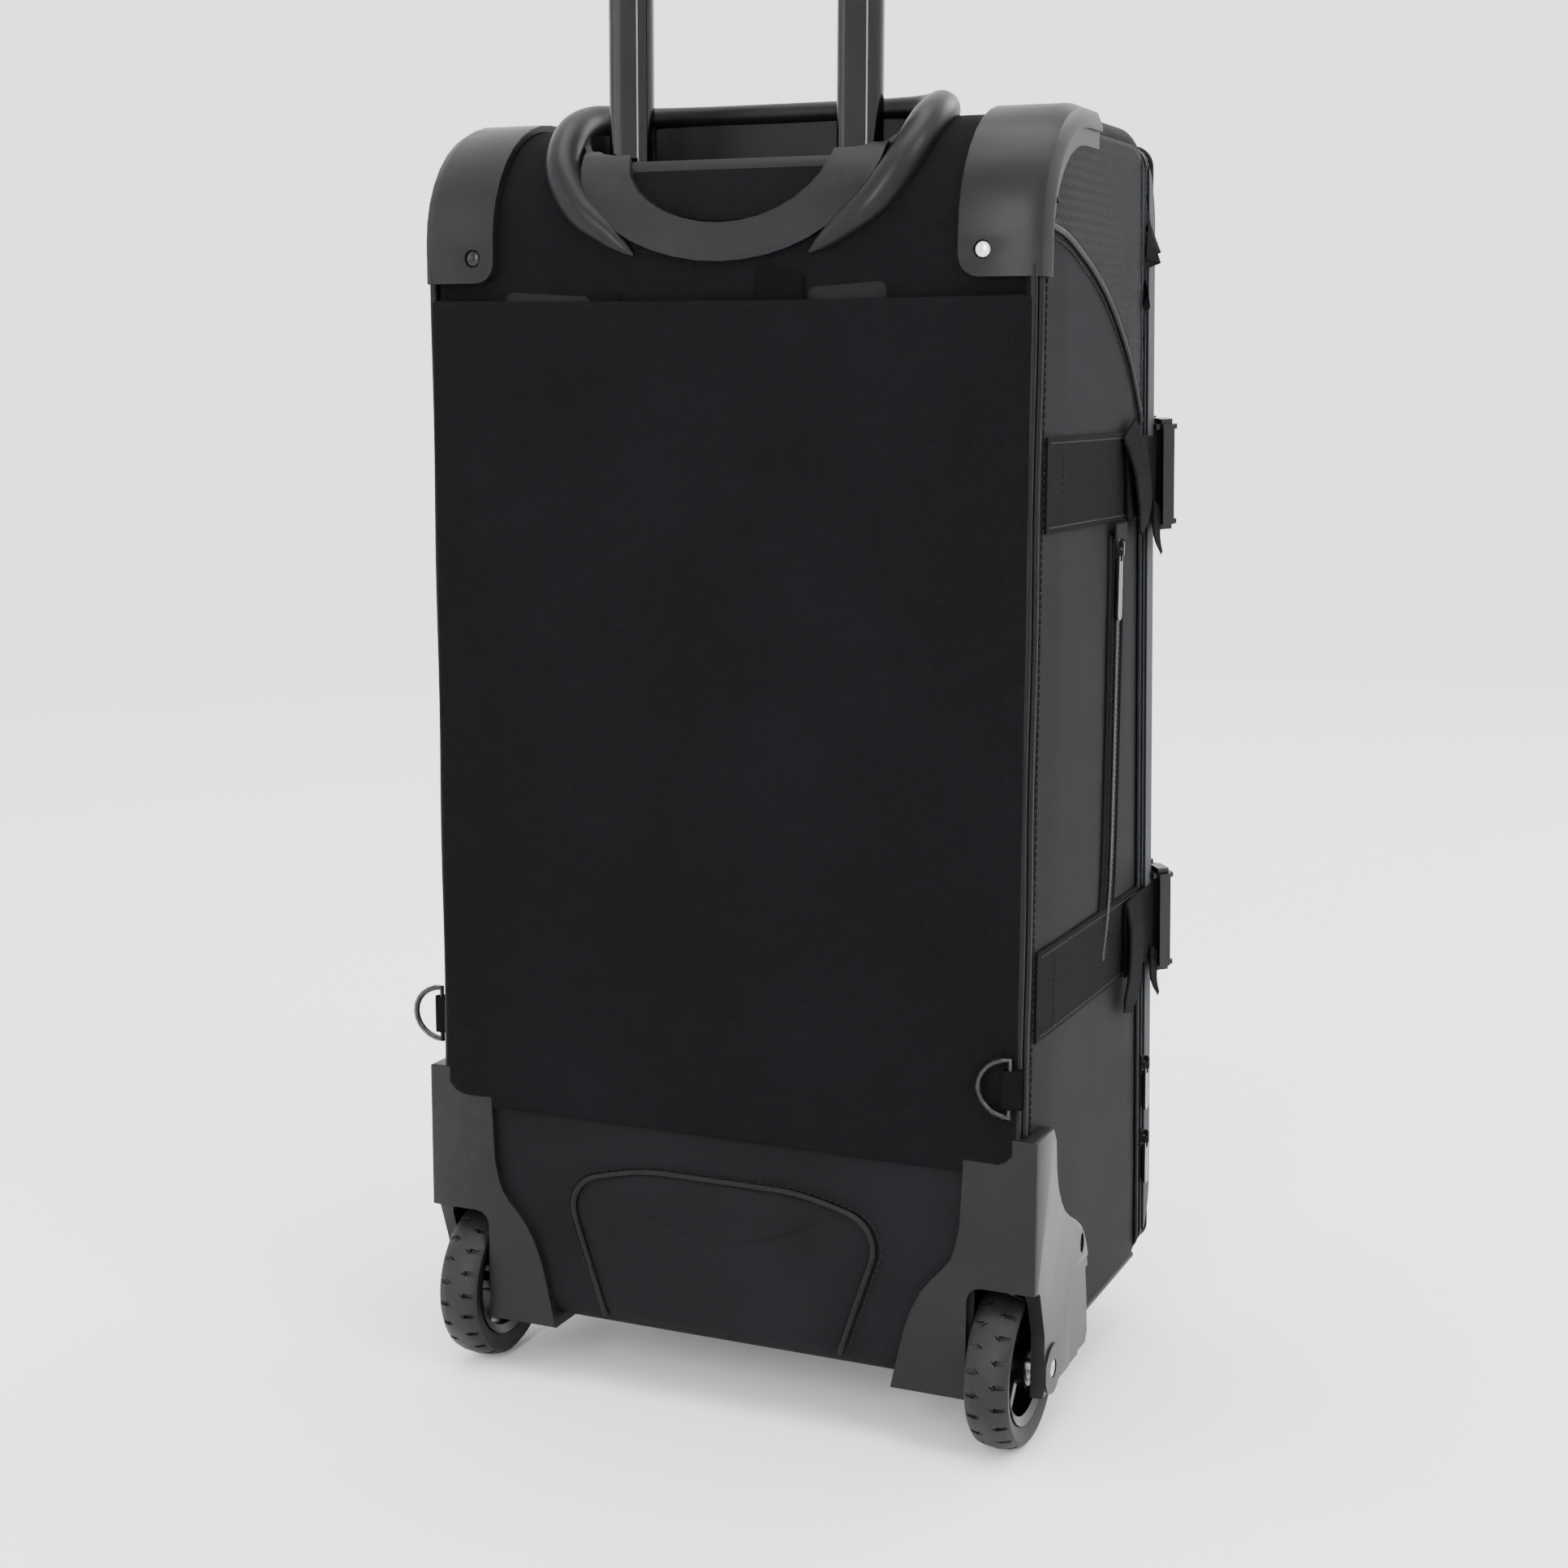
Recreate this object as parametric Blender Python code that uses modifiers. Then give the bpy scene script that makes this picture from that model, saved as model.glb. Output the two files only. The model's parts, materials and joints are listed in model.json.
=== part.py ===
"""Softside upright suitcase: a fabric case on two wheels with a two-stage telescopic handle.

Metres, +Z up. The rear of the case, with the handle and the wheels, faces +Y and the lid faces -Y.
The handle is drawn at full stretch. Left is +X.
"""

import math

import bmesh
import bpy
from mathutils import Matrix, Vector

# The case
HALF_WIDTH = 0.177
REAR = 0.1275
TOP = 0.716
BOTTOM = 0.040
LOW_DEPTH = 0.250
HIGH_DEPTH = 0.205
LOW_Z = 0.080
HIGH_Z = 0.660
REAR_TOP_RADIUS = 0.062
FRONT_TOP_RADIUS = 0.055
FRONT_BOTTOM_RADIUS = 0.045
REAR_BOTTOM_RADIUS = 0.012
EDGE_RADIUS = 0.008
WALL = 0.004
LID_THICKNESS = 0.020
GAP = 0.0003
LEAN = math.atan2(LOW_DEPTH - HIGH_DEPTH, HIGH_Z - LOW_Z)

# Rear panels and corner guards
GUARD_REAR = 0.0066
GUARD_SKIN = 0.0042
POCKET_TOP = 0.621
POCKET_BOTTOM = 0.166
POCKET_DEPTH = 0.0058
POCKET_SKIN = 0.0012
GUARD_BOTTOM = 0.630
GUARD_INNER = 0.1345

# Wheels
WHEEL_RADIUS = 0.047
TYRE_WIDTH = 0.025
WHEEL_X = 0.1630
AXLE_Y = REAR - 0.026
RIM_RADIUS = 0.0335
HUB_RADIUS = 0.0115
BEARING_RADIUS = 0.0080
AXLE_RADIUS = 0.0030
SPOKES = 5
TREAD_BLOCKS = 22
WELL_INNER = 0.1476
WELL_OUTER = 0.1784
WELL_TOP = 0.0985
WELL_DEPTH = 0.080
ARM_OUTER = 0.1862

# Telescopic handle
TUBE_X = 0.0668
TUBE_Y = REAR - 0.029
TRAVEL = 0.175
CUP_FLOOR = 0.640
RIM_Z = 0.723
GRIP_BOTTOM = 0.690 + 2 * TRAVEL
GRIP_HEIGHT = 0.032

# Straps, side by side heights of their middles
STRAP_WIDTH = 0.050
STRAP_HEIGHTS = {"upper": 0.5255, "lower": 0.2570}
WEB = 0.0016
DRING_Z = 0.212

SIDES = {"left": 1, "right": -1}
PLANES = {
    "xy": Matrix.Identity(4),
    "xz": Matrix.Rotation(math.pi / 2, 4, "X"),
    "yz": Matrix(((0, 0, 1, 0), (1, 0, 0, 0), (0, 1, 0, 0), (0, 0, 0, 1))),
}


def front_y(z, out=0.0):
    """The lid's outer face at height z, moved outwards by a distance."""
    low = REAR - LOW_DEPTH
    return low + (z - LOW_Z) * math.tan(LEAN) - out / math.cos(LEAN)


def lid_place():
    """Turns lid coordinates (across, outwards as -Y, up the lid) into world ones."""
    return Matrix.Translation((0, front_y(LOW_Z), LOW_Z)) @ Matrix.Rotation(-LEAN, 4, "X")


# ---------------------------------------------------------------- scene and materials


def clear_scene():
    for obj in list(bpy.data.objects):
        bpy.data.objects.remove(obj, do_unlink=True)


def new_collection(name):
    found = bpy.data.collections.new(name)
    bpy.context.scene.collection.children.link(found)
    return found


def make_material(name, colour, roughness, metallic=0.0):
    material = bpy.data.materials.new(name)
    material.use_nodes = True
    shader = material.node_tree.nodes["Principled BSDF"]
    shader.inputs["Base Color"].default_value = (*colour, 1.0)
    shader.inputs["Roughness"].default_value = roughness
    shader.inputs["Metallic"].default_value = metallic
    material.diffuse_color = (*colour, 1.0)
    return material


def all_materials():
    return {
        "twill": make_material("black_twill", (0.012, 0.013, 0.015), 0.85),
        "coated": make_material("coated_fabric", (0.030, 0.032, 0.036), 0.60),
        "plastic": make_material("moulded_plastic", (0.035, 0.036, 0.038), 0.42),
        "tube": make_material("black_tube", (0.010, 0.010, 0.014), 0.12, 0.6),
        "webbing": make_material("webbing", (0.014, 0.015, 0.017), 0.80),
        "rubber": make_material("tyre_rubber", (0.020, 0.020, 0.021), 0.62),
        "gloss": make_material("gloss_plastic", (0.012, 0.012, 0.013), 0.18),
        "steel": make_material("bright_steel", (0.60, 0.60, 0.58), 0.28, 1.0),
        "wire": make_material("black_wire", (0.015, 0.015, 0.016), 0.25, 0.7),
        "board": make_material("board", (0.05, 0.05, 0.052), 0.55),
        "lining": make_material("padded_mesh", (0.022, 0.023, 0.026), 0.9),
    }


# ---------------------------------------------------------------- shape helpers


def fillet(corners, segments=6):
    """A closed outline from corners (u, v, radius), each rounded with an arc."""
    points = []
    count = len(corners)
    for i, (u, v, radius) in enumerate(corners):
        here = Vector((u, v))
        before = (Vector(corners[i - 1][:2]) - here).normalized()
        after = (Vector(corners[(i + 1) % count][:2]) - here).normalized()
        half = before.angle(after) / 2
        if radius <= 0 or half > math.pi / 2 - 0.01:
            points.append((u, v))
            continue
        centre = here + (before + after).normalized() * (radius / math.sin(half))
        start = here + before * (radius / math.tan(half)) - centre
        turn = start.angle_signed(here + after * (radius / math.tan(half)) - centre)
        steps = max(2, round(segments * abs(turn) / (math.pi / 2)))
        for k in range(steps + 1):
            arm = start.copy()
            arm.rotate(Matrix.Rotation(-turn * k / steps, 2))
            points.append(tuple(centre + arm))
    return points


def ellipse(centre_u, centre_v, half_u, half_v, first=0.0, last=2 * math.pi, steps=24):
    """Points along an ellipse, from one angle to another."""
    angles = [first + (last - first) * k / steps for k in range(steps + 1)]
    if abs(last - first - 2 * math.pi) < 1e-6:
        angles.pop()
    return [(centre_u + half_u * math.cos(a), centre_v + half_v * math.sin(a)) for a in angles]


def ribbon(points, thickness):
    """The closed outline of a strap of even thickness along a bent line."""
    line = [Vector(p) for p in points]
    sides = ([], [])
    for i, here in enumerate(line):
        back = (here - line[max(i - 1, 0)]).normalized() if i else None
        ahead = (line[i + 1] - here).normalized() if i + 1 < len(line) else None
        runs = [v for v in (back, ahead) if v is not None]
        along = (runs[0] + runs[-1]).normalized()
        across = Vector((-along.y, along.x))
        stretch = 1 / max(0.5, across.dot(Vector((-runs[0].y, runs[0].x))))
        for side, sign in zip(sides, (1, -1)):
            side.append(tuple(here + across * sign * stretch * thickness / 2))
    return sides[0] + sides[1][::-1]


def mesh_from(obj, face_out=True):
    """The evaluated mesh of an object, welded and facing out; the object itself goes."""
    graph = bpy.context.evaluated_depsgraph_get()
    graph.update()
    mesh = bpy.data.meshes.new_from_object(obj.evaluated_get(graph), depsgraph=graph)
    mesh.transform(obj.matrix_world)
    bpy.data.objects.remove(obj, do_unlink=True)
    work = bmesh.new()
    work.from_mesh(mesh)
    bmesh.ops.remove_doubles(work, verts=work.verts, dist=1e-6)
    if face_out:
        bmesh.ops.recalc_face_normals(work, faces=work.faces)
    work.to_mesh(mesh)
    work.free()
    return mesh


def link(name, data, collection="build"):
    obj = bpy.data.objects.new(name, data)
    bpy.data.collections[collection].objects.link(obj)
    return obj


def plate(outlines, low, high, plane="xy", edge=0.0, name="shape"):
    """A mesh object: flat outlines, the first one solid, extruded from low to high."""
    curve = bpy.data.curves.new(name, "CURVE")
    curve.dimensions = "2D"
    curve.fill_mode = "BOTH"
    curve.extrude = abs(high - low) / 2 - edge
    curve.bevel_depth = edge
    curve.bevel_resolution = 1
    curve.offset = -edge
    for outline in outlines:
        spline = curve.splines.new("POLY")
        spline.points.add(len(outline) - 1)
        for point, (u, v) in zip(spline.points, outline):
            point.co = (u, v, 0, 1)
        spline.use_cyclic_u = True
    obj = link(name, curve)
    middle = (low + high) / 2
    if plane == "xz":
        middle = -middle
    obj.matrix_world = PLANES[plane] @ Matrix.Translation((0, 0, middle))
    bpy.context.view_layer.update()
    return link(name, mesh_from(obj))


def box(size, centre, edge=0.0, segments=2, name="box"):
    work = bmesh.new()
    bmesh.ops.create_cube(work, size=1.0)
    bmesh.ops.scale(work, vec=size, verts=work.verts)
    if edge:
        bmesh.ops.bevel(work, geom=work.edges, offset=edge, segments=segments, affect="EDGES")
    bmesh.ops.translate(work, vec=centre, verts=work.verts)
    mesh = bpy.data.meshes.new(name)
    work.to_mesh(mesh)
    work.free()
    return link(name, mesh)


def span(low, high, edge=0.0, name="box"):
    """A box from its two far corners."""
    size = [h - l for l, h in zip(low, high)]
    centre = [(h + l) / 2 for l, h in zip(low, high)]
    return box(size, centre, edge, name=name)


def rod(radius, low, high, axis, across, segments=24, name="rod"):
    """A cylinder along X, Y or Z from low to high; across holds its two other coordinates."""
    work = bmesh.new()
    bmesh.ops.create_cone(
        work, cap_ends=True, segments=segments, radius1=radius, radius2=radius, depth=high - low
    )
    turn = {"X": Matrix.Rotation(math.pi / 2, 4, "Y"), "Y": Matrix.Rotation(math.pi / 2, 4, "X")}
    middle = (low + high) / 2
    place = {
        "X": (middle, *across),
        "Y": (across[0], middle, across[1]),
        "Z": (*across, middle),
    }[axis]
    bmesh.ops.transform(work, matrix=turn.get(axis, Matrix.Identity(4)), verts=work.verts)
    bmesh.ops.translate(work, vec=place, verts=work.verts)
    mesh = bpy.data.meshes.new(name)
    work.to_mesh(mesh)
    work.free()
    return link(name, mesh)


def lathe(profile, steps, place, name="lathe"):
    """A (radius, height) profile turned round the X axis: closed, or starting and ending on the axis."""
    mesh = bpy.data.meshes.new(name)
    on_axis = profile[0][0] == 0
    edges = [(i, (i + 1) % len(profile)) for i in range(len(profile) - on_axis)]
    mesh.from_pydata([(height, radius, 0) for radius, height in profile], edges, [])
    obj = link(name, mesh)
    screw = obj.modifiers.new("turn", "SCREW")
    screw.axis = "X"
    screw.steps = steps
    screw.render_steps = steps
    screw.use_merge_vertices = True
    screw.merge_threshold = 1e-5
    obj.matrix_world = Matrix.Translation(place)
    bpy.context.view_layer.update()
    return link(name, mesh_from(obj))


def tube(points, radius, radii=None, closed=False, sides=3, name="tube"):
    """A bevelled path through the points, with an optional radius factor at each."""
    curve = bpy.data.curves.new(name, "CURVE")
    curve.dimensions = "3D"
    curve.bevel_depth = radius
    curve.bevel_resolution = sides
    curve.use_fill_caps = True
    spline = curve.splines.new("POLY")
    spline.points.add(len(points) - 1)
    for i, (point, place) in enumerate(zip(spline.points, points)):
        point.co = (*place, 1)
        point.radius = radii[i] if radii else 1.0
    spline.use_cyclic_u = closed
    obj = link(name, curve)
    bpy.context.view_layer.update()
    return link(name, mesh_from(obj))


def smooth_path(knots, per_span=5):
    """Points of a Catmull-Rom curve through knots of any dimension."""
    knots = [Vector(k) for k in knots]
    ends = [2 * knots[0] - knots[1], *knots, 2 * knots[-1] - knots[-2]]
    points = []
    for i in range(1, len(ends) - 2):
        a, b, c, d = ends[i - 1 : i + 3]
        for k in range(per_span):
            t = k / per_span
            points.append(
                0.5 * (2 * b + (c - a) * t + (2 * a - 5 * b + 4 * c - d) * t**2)
                + 0.5 * (3 * b - a - 3 * c + d) * t**3
            )
    points.append(knots[-1])
    return points


def combine(target, other, operation, keep=False):
    """Boolean of two mesh objects with the exact solver; the result stays in target."""
    step = target.modifiers.new(operation.lower(), "BOOLEAN")
    step.operation = operation
    step.solver = "EXACT"
    step.object = other
    bpy.context.view_layer.update()
    name = target.name
    kept = link("result", mesh_from(target, face_out=False))
    if not keep:
        bpy.data.objects.remove(other, do_unlink=True)
    kept.name = name
    return kept


def cut(target, *others):
    for other in others:
        target = combine(target, other, "DIFFERENCE")
    return target


def fuse(target, *others):
    for other in others:
        target = combine(target, other, "UNION")
    return target


def clip(target, *others):
    for other in others:
        target = combine(target, other, "INTERSECT")
    return target


def mirrored(obj, sign):
    """Turns a left-hand mesh into a right-hand one when sign is -1."""
    if sign < 0:
        obj.data.transform(Matrix.Scale(-1, 4, (1, 0, 0)))
        obj.data.flip_normals()
    return obj


def finish(obj, name, material, origin=(0, 0, 0), parent=None, smooth=35.0):
    """Names a part, moves its origin, gives it its material and shades it."""
    obj.data.transform(Matrix.Translation(-Vector(origin)))
    obj.location = origin
    obj.name = name
    obj.data.name = name
    obj.data.materials.clear()
    obj.data.materials.append(MATERIALS[material])
    for face in obj.data.polygons:
        face.use_smooth = True
    obj.data.set_sharp_from_angle(angle=math.radians(smooth))
    if parent is not None:
        obj.parent = parent
        obj.matrix_parent_inverse = parent.matrix_world.inverted()
    for held in list(obj.users_collection):
        held.objects.unlink(obj)
    bpy.data.collections["softside_suitcase"].objects.link(obj)
    return obj


def pivot(name, place, turn=0.0):
    """An empty on a joint's axis, for the pieces that move with it."""
    obj = link(name, None, "pivots")
    obj.location = place
    obj.rotation_euler.x = turn
    bpy.context.view_layer.update()
    return obj


# ---------------------------------------------------------------- the case


def body_profile(rear=0.0, top=0.0, bottom=0.0, front=0.0):
    """The case seen from the side as (y, z), moved out by a distance on each side."""
    low = BOTTOM - bottom
    high = TOP + top
    grow = max(rear, top)
    return fillet(
        [
            (REAR + rear, low, REAR_BOTTOM_RADIUS + min(rear, bottom)),
            (REAR + rear, high, REAR_TOP_RADIUS + grow),
            (front_y(high, front), high, FRONT_TOP_RADIUS + min(front, top)),
            (front_y(low, front), low, FRONT_BOTTOM_RADIUS + min(front, bottom)),
        ],
        9,
    )


def body_solid(rear=0.0, top=0.0, side=0.0, bottom=0.0, front=0.0, edge=EDGE_RADIUS):
    outline = body_profile(rear, top, bottom, front)
    half = HALF_WIDTH + side
    return plate([outline], -half, half, "yz", edge, "body")


def seam_block(offset, reach=1.0, inside=True):
    """A large block on one side of the seam plane between the case and its lid."""
    low, high = (0.0, reach) if inside else (-reach, 0.0)
    block = span((-1, low, -1), (1, high, 1), name="block")
    block.data.transform(lid_place() @ Matrix.Translation((0, offset, 0)))
    return block


def cup_outline(out=0.0, far_radius=0.020):
    """Plan of the handle's recess as (x, y): straight far wall, rounded near wall."""
    near = REAR - 0.0125 + out
    far = REAR - 0.0785 - out
    half = 0.0945 + out
    return fillet(
        [
            (-half, near, 0.026 + out),
            (-half, far, far_radius + out),
            (half, far, far_radius + out),
            (half, near, 0.026 + out),
        ],
        6,
    )


def well_block(out, sign=1):
    """The space that a wheel turns in, grown by a distance."""
    low = (WELL_INNER - out, REAR - WELL_DEPTH - out, -0.02)
    high = (WELL_OUTER + out, REAR + 0.05, WELL_TOP + out)
    outline = fillet(
        [
            (low[0], low[2], 0),
            (high[0], low[2], 0),
            (high[0], high[2], 0.008),
            (low[0], high[2], 0.008),
        ],
        3,
    )
    block = plate([outline], low[1], high[1], "xz", name="well")
    return mirrored(block, sign)


def case_shell():
    shell = clip(body_solid(), seam_block(LID_THICKNESS + GAP))
    hollow = body_solid(-WALL, -WALL, -WALL, -WALL, -WALL, edge=0.005)
    cup = plate([cup_outline(0.0033 + GAP, 0.0)], CUP_FLOOR - GAP, TOP + 0.05, "xy")
    shell = cut(shell, hollow, cup)
    for sign in SIDES.values():
        shell = cut(shell, well_block(0.003 + GAP, sign))
    return finish(shell, "case_shell", "coated")


def back_board():
    """Stiff sheet behind the lining that covers the handle's tubes."""
    front = REAR - 0.0435
    outline = fillet([(-0.140, 0.047, 0.01), (0.140, 0.047, 0.01), (0.140, 0.634, 0.02),
                      (-0.140, 0.634, 0.02)], 3)
    board = plate([outline], front, front + 0.002, "xz")
    return finish(board, "back_board", "board")


def frame_wire():
    """Spring steel wire that keeps the mouth of the case open."""
    back = LID_THICKNESS + 0.014
    corners = fillet([(-0.1690, -0.0230, 0.045), (0.1690, -0.0230, 0.045), (0.1690, 0.6190, 0.050),
                      (-0.1690, 0.6190, 0.050)], 5)
    points = [lid_place() @ Vector((x, back, z)) for x, z in corners]
    return finish(tube(points, 0.0018, closed=True, sides=1), "frame_wire", "steel")


def guard_skin(rear=GUARD_REAR, skin=GUARD_SKIN):
    """The skin that a moulded guard takes up round the case."""
    outer = body_solid(rear, skin, skin, skin, skin, EDGE_RADIUS + 0.002)
    return cut(outer, body_solid(GAP, GAP, GAP, GAP, GAP))


def top_guard(side, sign):
    """Moulded corner: a rear tab, a roll over the top edge and a narrow flange on the side."""
    tab = plate(
        [fillet([(GUARD_INNER, GUARD_BOTTOM, 0.011), (0.19, GUARD_BOTTOM, 0), (0.19, 0.75, 0),
                 (GUARD_INNER, 0.75, 0)], 4)],
        REAR - 0.086, REAR + 0.02, "xz",
    )
    guard = clip(guard_skin(), tab)
    inset = body_profile(-0.0105, -0.0175, 0, 0)
    window = plate([inset], HALF_WIDTH - 0.0005, HALF_WIDTH + 0.02, "yz")
    step = plate([body_profile(-0.0052, -0.0086, 0, 0)], HALF_WIDTH + 0.0024, HALF_WIDTH + 0.02, "yz")
    notch = span((GUARD_INNER - 0.01, REAR - 0.1, TOP - 0.05), (GUARD_INNER + 0.006, REAR - 0.078, 0.75))
    hole = rod(0.0048, REAR - 0.01, REAR + 0.02, "Y", (0.1475, 0.6435), 16)
    guard = cut(guard, window, step, notch, hole)
    return finish(mirrored(guard, sign), f"top_guard_{side}", "plastic")


def housing_rear_outline(out=0.0):
    """The wheel housing seen from behind, on the left side."""
    s_curve = smooth_path([(0.1425 - out, 0.130), (0.1375 - out, 0.112), (0.1225 - out, 0.094),
                           (0.1125 - out, 0.072), (0.1040 - out, 0.034)], 3)
    inner_top = fillet([(0.1440 - out, 0.16, 0), (0.1450 - out, 0.1835 + out, 0.011),
                        (0.17, 0.1835 + out, 0)], 4)[:-1]
    outer = [(ARM_OUTER + out, 0.1835 + out), (ARM_OUTER + out, 0.034)]
    return [tuple(p) for p in reversed(s_curve)] + inner_top + outer


def housing_side_outline():
    """The wheel housing seen from the side as (y, z)."""
    s_curve = smooth_path([(-0.029, 0.176), (-0.033, 0.152), (-0.048, 0.130), (-0.079, 0.112),
                           (-0.094, 0.090), (-0.101, 0.060), (-0.1035, 0.040)], 3)
    rear = [(GUARD_REAR - 0.0006, 0.034), (GUARD_REAR - 0.0006, 0.1835), (-0.024, 0.1835)]
    outline = rear + [tuple(p) for p in s_curve] + [(-0.100, 0.034)]
    return [(REAR + y, z) for y, z in outline]


def wheel_housing(side, sign):
    """Moulded corner that carries a wheel between two arms in an open well."""
    block = plate([housing_rear_outline()], REAR - 0.12, REAR + GUARD_REAR, "xz", 0.0015)
    flank = plate([housing_side_outline()], 0.10, ARM_OUTER, "yz", 0.0025)
    block = clip(block, flank)
    block = cut(block, body_solid(GAP, GAP, GAP, GAP, GAP))
    walls = clip(well_block(0.003), span((0.1, REAR - 0.2, 0.0365), (0.2, REAR + 0.004, 0.2)))
    boss = rod(0.0140, WELL_OUTER - 0.003, ARM_OUTER + 0.0012, "X", (AXLE_Y, WHEEL_RADIUS), 24)
    block = fuse(block, walls, boss)
    steps = [span((ARM_OUTER - 0.0016 - 0.0016 * k, REAR - 0.2, 0.0),
                  (0.2, REAR - 0.060 - 0.020 * k, 0.090 - 0.008 * k)) for k in range(2)]
    sweep = fillet([(-0.0125, 0.020, 0), (0.06, 0.020, 0), (0.06, WELL_TOP, 0), (-0.002, WELL_TOP, 0.004),
                    (-0.0125, 0.070, 0.012)], 3)
    relief = plate([[(REAR + y, z) for y, z in sweep]], WELL_OUTER - 0.004, 0.2, "yz")
    slot = plate([[(REAR - 0.0790 + u, 0.1010 + v) for u, v in ellipse(0, 0, 0.0035, 0.0060, steps=12)]],
                 ARM_OUTER - 0.0015, 0.2, "yz")
    bore = rod(AXLE_RADIUS + GAP, 0.140, 0.2, "X", (AXLE_Y, WHEEL_RADIUS), 16)
    seat = rod(0.0052, ARM_OUTER - 0.0010, 0.2, "X", (AXLE_Y, WHEEL_RADIUS), 16)
    block = cut(block, *steps, relief, slot, well_block(0.0), bore, seat)
    return finish(mirrored(block, sign), f"wheel_housing_{side}", "plastic")


def rear_pocket_panel():
    """Sleeve on the back, sewn at the sides and bottom and open at the top."""
    half = 0.1738
    face = REAR + POCKET_DEPTH
    outline = fillet([(-half, POCKET_BOTTOM, 0.002), (half, POCKET_BOTTOM, 0.002),
                      (half, POCKET_TOP, 0.001), (-half, POCKET_TOP, 0.001)], 2)
    panel = plate([outline], REAR + GAP, face, "xz")
    sleeve = span((-half + 0.004, REAR - 0.01, POCKET_BOTTOM + 0.004),
                  (half - 0.004, face - POCKET_SKIN, POCKET_TOP + 0.01))
    panel = cut(panel, sleeve)
    for sign in SIDES.values():
        corner = mirrored(plate([housing_rear_outline(0.0005)], REAR - 0.01, REAR + 0.02, "xz"), sign)
        panel = cut(panel, corner)
    return finish(panel, "rear_pocket_panel", "twill")


def lower_rear_panel():
    outline = [(-0.150, 0.0525), (0.150, 0.0525), (0.150, POCKET_BOTTOM - GAP), (-0.150, POCKET_BOTTOM - GAP)]
    panel = plate([outline], REAR + GAP, REAR + 0.0018, "xz")
    for sign in SIDES.values():
        corner = mirrored(plate([housing_rear_outline(0.0005)], REAR - 0.01, REAR + 0.02, "xz"), sign)
        panel = cut(panel, corner)
    return finish(panel, "lower_rear_panel", "coated")


def kick_pad():
    """Padded grab pad: a fan shape, wider at the top, in the middle of the lower panel."""
    outline = fillet([(-0.078, 0.0530, 0.006), (0.078, 0.0530, 0.006), (0.098, 0.121, 0.016),
                      (0.050, 0.1360, 0.08), (-0.050, 0.1360, 0.08), (-0.098, 0.121, 0.016)], 5)
    pad = plate([outline], REAR + 0.0018 + GAP, REAR + 0.0068, "xz", 0.0018)
    return finish(pad, "kick_pad", "coated")


def stowed_strap(side, sign):
    """Folded carrying strap that stands in the rear sleeve with its end showing."""
    low, high, rise = ((0.060, 0.130, 0.004), (0.022, 0.108, 0.011))[sign < 0]
    outline = fillet([(low, 0.400, 0.01), (high, 0.400, 0.01), (high, POCKET_TOP + rise, 0.003),
                      (low, POCKET_TOP + rise - 0.003, 0.008)], 3)
    strap = plate([outline], REAR + 2 * GAP, REAR + 0.0040, "xz")
    return finish(mirrored(strap, sign), f"stowed_strap_{side}", "lining")


def front_foot(side, sign):
    """Moulded skid that holds the front of the case level with the wheels."""
    y = front_y(LOW_Z) + 0.062
    outline = fillet([(y - 0.030, 0, 0.006), (y + 0.012, 0, 0.004), (y + 0.020, BOTTOM - GAP, 0),
                      (y - 0.024, BOTTOM - GAP, 0)], 3)
    foot = plate([outline], 0.112, 0.128, "yz", 0.0015)
    return finish(mirrored(foot, sign), f"front_foot_{side}", "plastic")


def top_handle():
    """Flat webbing carry handle on the top."""
    path = smooth_path([(-0.088, TOP + 0.0023), (-0.070, TOP + 0.0023), (-0.052, TOP + 0.0070),
                        (-0.030, TOP + 0.0105), (0.030, TOP + 0.0105), (0.052, TOP + 0.0070),
                        (0.070, TOP + 0.0023), (0.088, TOP + 0.0023)], 2)
    y = REAR - 0.112
    handle = plate([ribbon([tuple(p) for p in path], 0.0034)], y - 0.014, y + 0.014, "xz")
    return finish(handle, "top_handle", "webbing")


def side_strap(side, sign, level):
    """Webbing band sewn to the side of the case."""
    z = STRAP_HEIGHTS[level]
    front = front_y(z) + LID_THICKNESS + 0.0125
    band = span((HALF_WIDTH + GAP, front, z - STRAP_WIDTH / 2),
                (HALF_WIDTH + GAP + WEB, REAR - 0.009, z + STRAP_WIDTH / 2))
    return finish(mirrored(band, sign), f"side_strap_{level}_{side}", "webbing")


# ---------------------------------------------------------------- D-rings


def d_ring(side, sign):
    """Wire D on a webbing tab: the left one stands out, the right one lies on the rear."""
    half = 0.0155
    wire = 0.0018
    arc = [(0.0175 * math.cos(a), half * math.sin(a))
           for a in [math.pi * (k / 12 - 0.5) for k in range(13)]]
    if sign > 0:
        bar = (HALF_WIDTH + 0.0050, REAR - 0.003)
    else:
        bar = (-HALF_WIDTH + 0.0060, REAR + POCKET_DEPTH + 0.0039)
    points = [(bar[0] + u, bar[1], DRING_Z + v) for u, v in arc]
    ring = tube(points, wire, closed=True, sides=1)
    ring = finish(ring, f"d_ring_{side}", "wire", (*bar, DRING_Z))
    tab_half = 0.0105
    if sign > 0:
        low = (HALF_WIDTH + GAP, bar[1] - 0.0036, DRING_Z - tab_half)
        high = (bar[0] + 0.0036, bar[1] + 0.0036, DRING_Z + tab_half)
    else:
        low = (bar[0] - 0.0075, REAR + POCKET_DEPTH + GAP, DRING_Z - tab_half)
        high = (bar[0] + 0.0036, bar[1] + 0.0036, DRING_Z + tab_half)
    tab = span(low, high, 0.0007)
    tab = cut(tab, rod(wire + 0.0004, DRING_Z - 0.1, DRING_Z + 0.1, "Z", bar, 16))
    finish(tab, f"d_ring_tab_{side}", "webbing")
    return ring


# ---------------------------------------------------------------- wheels


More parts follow.
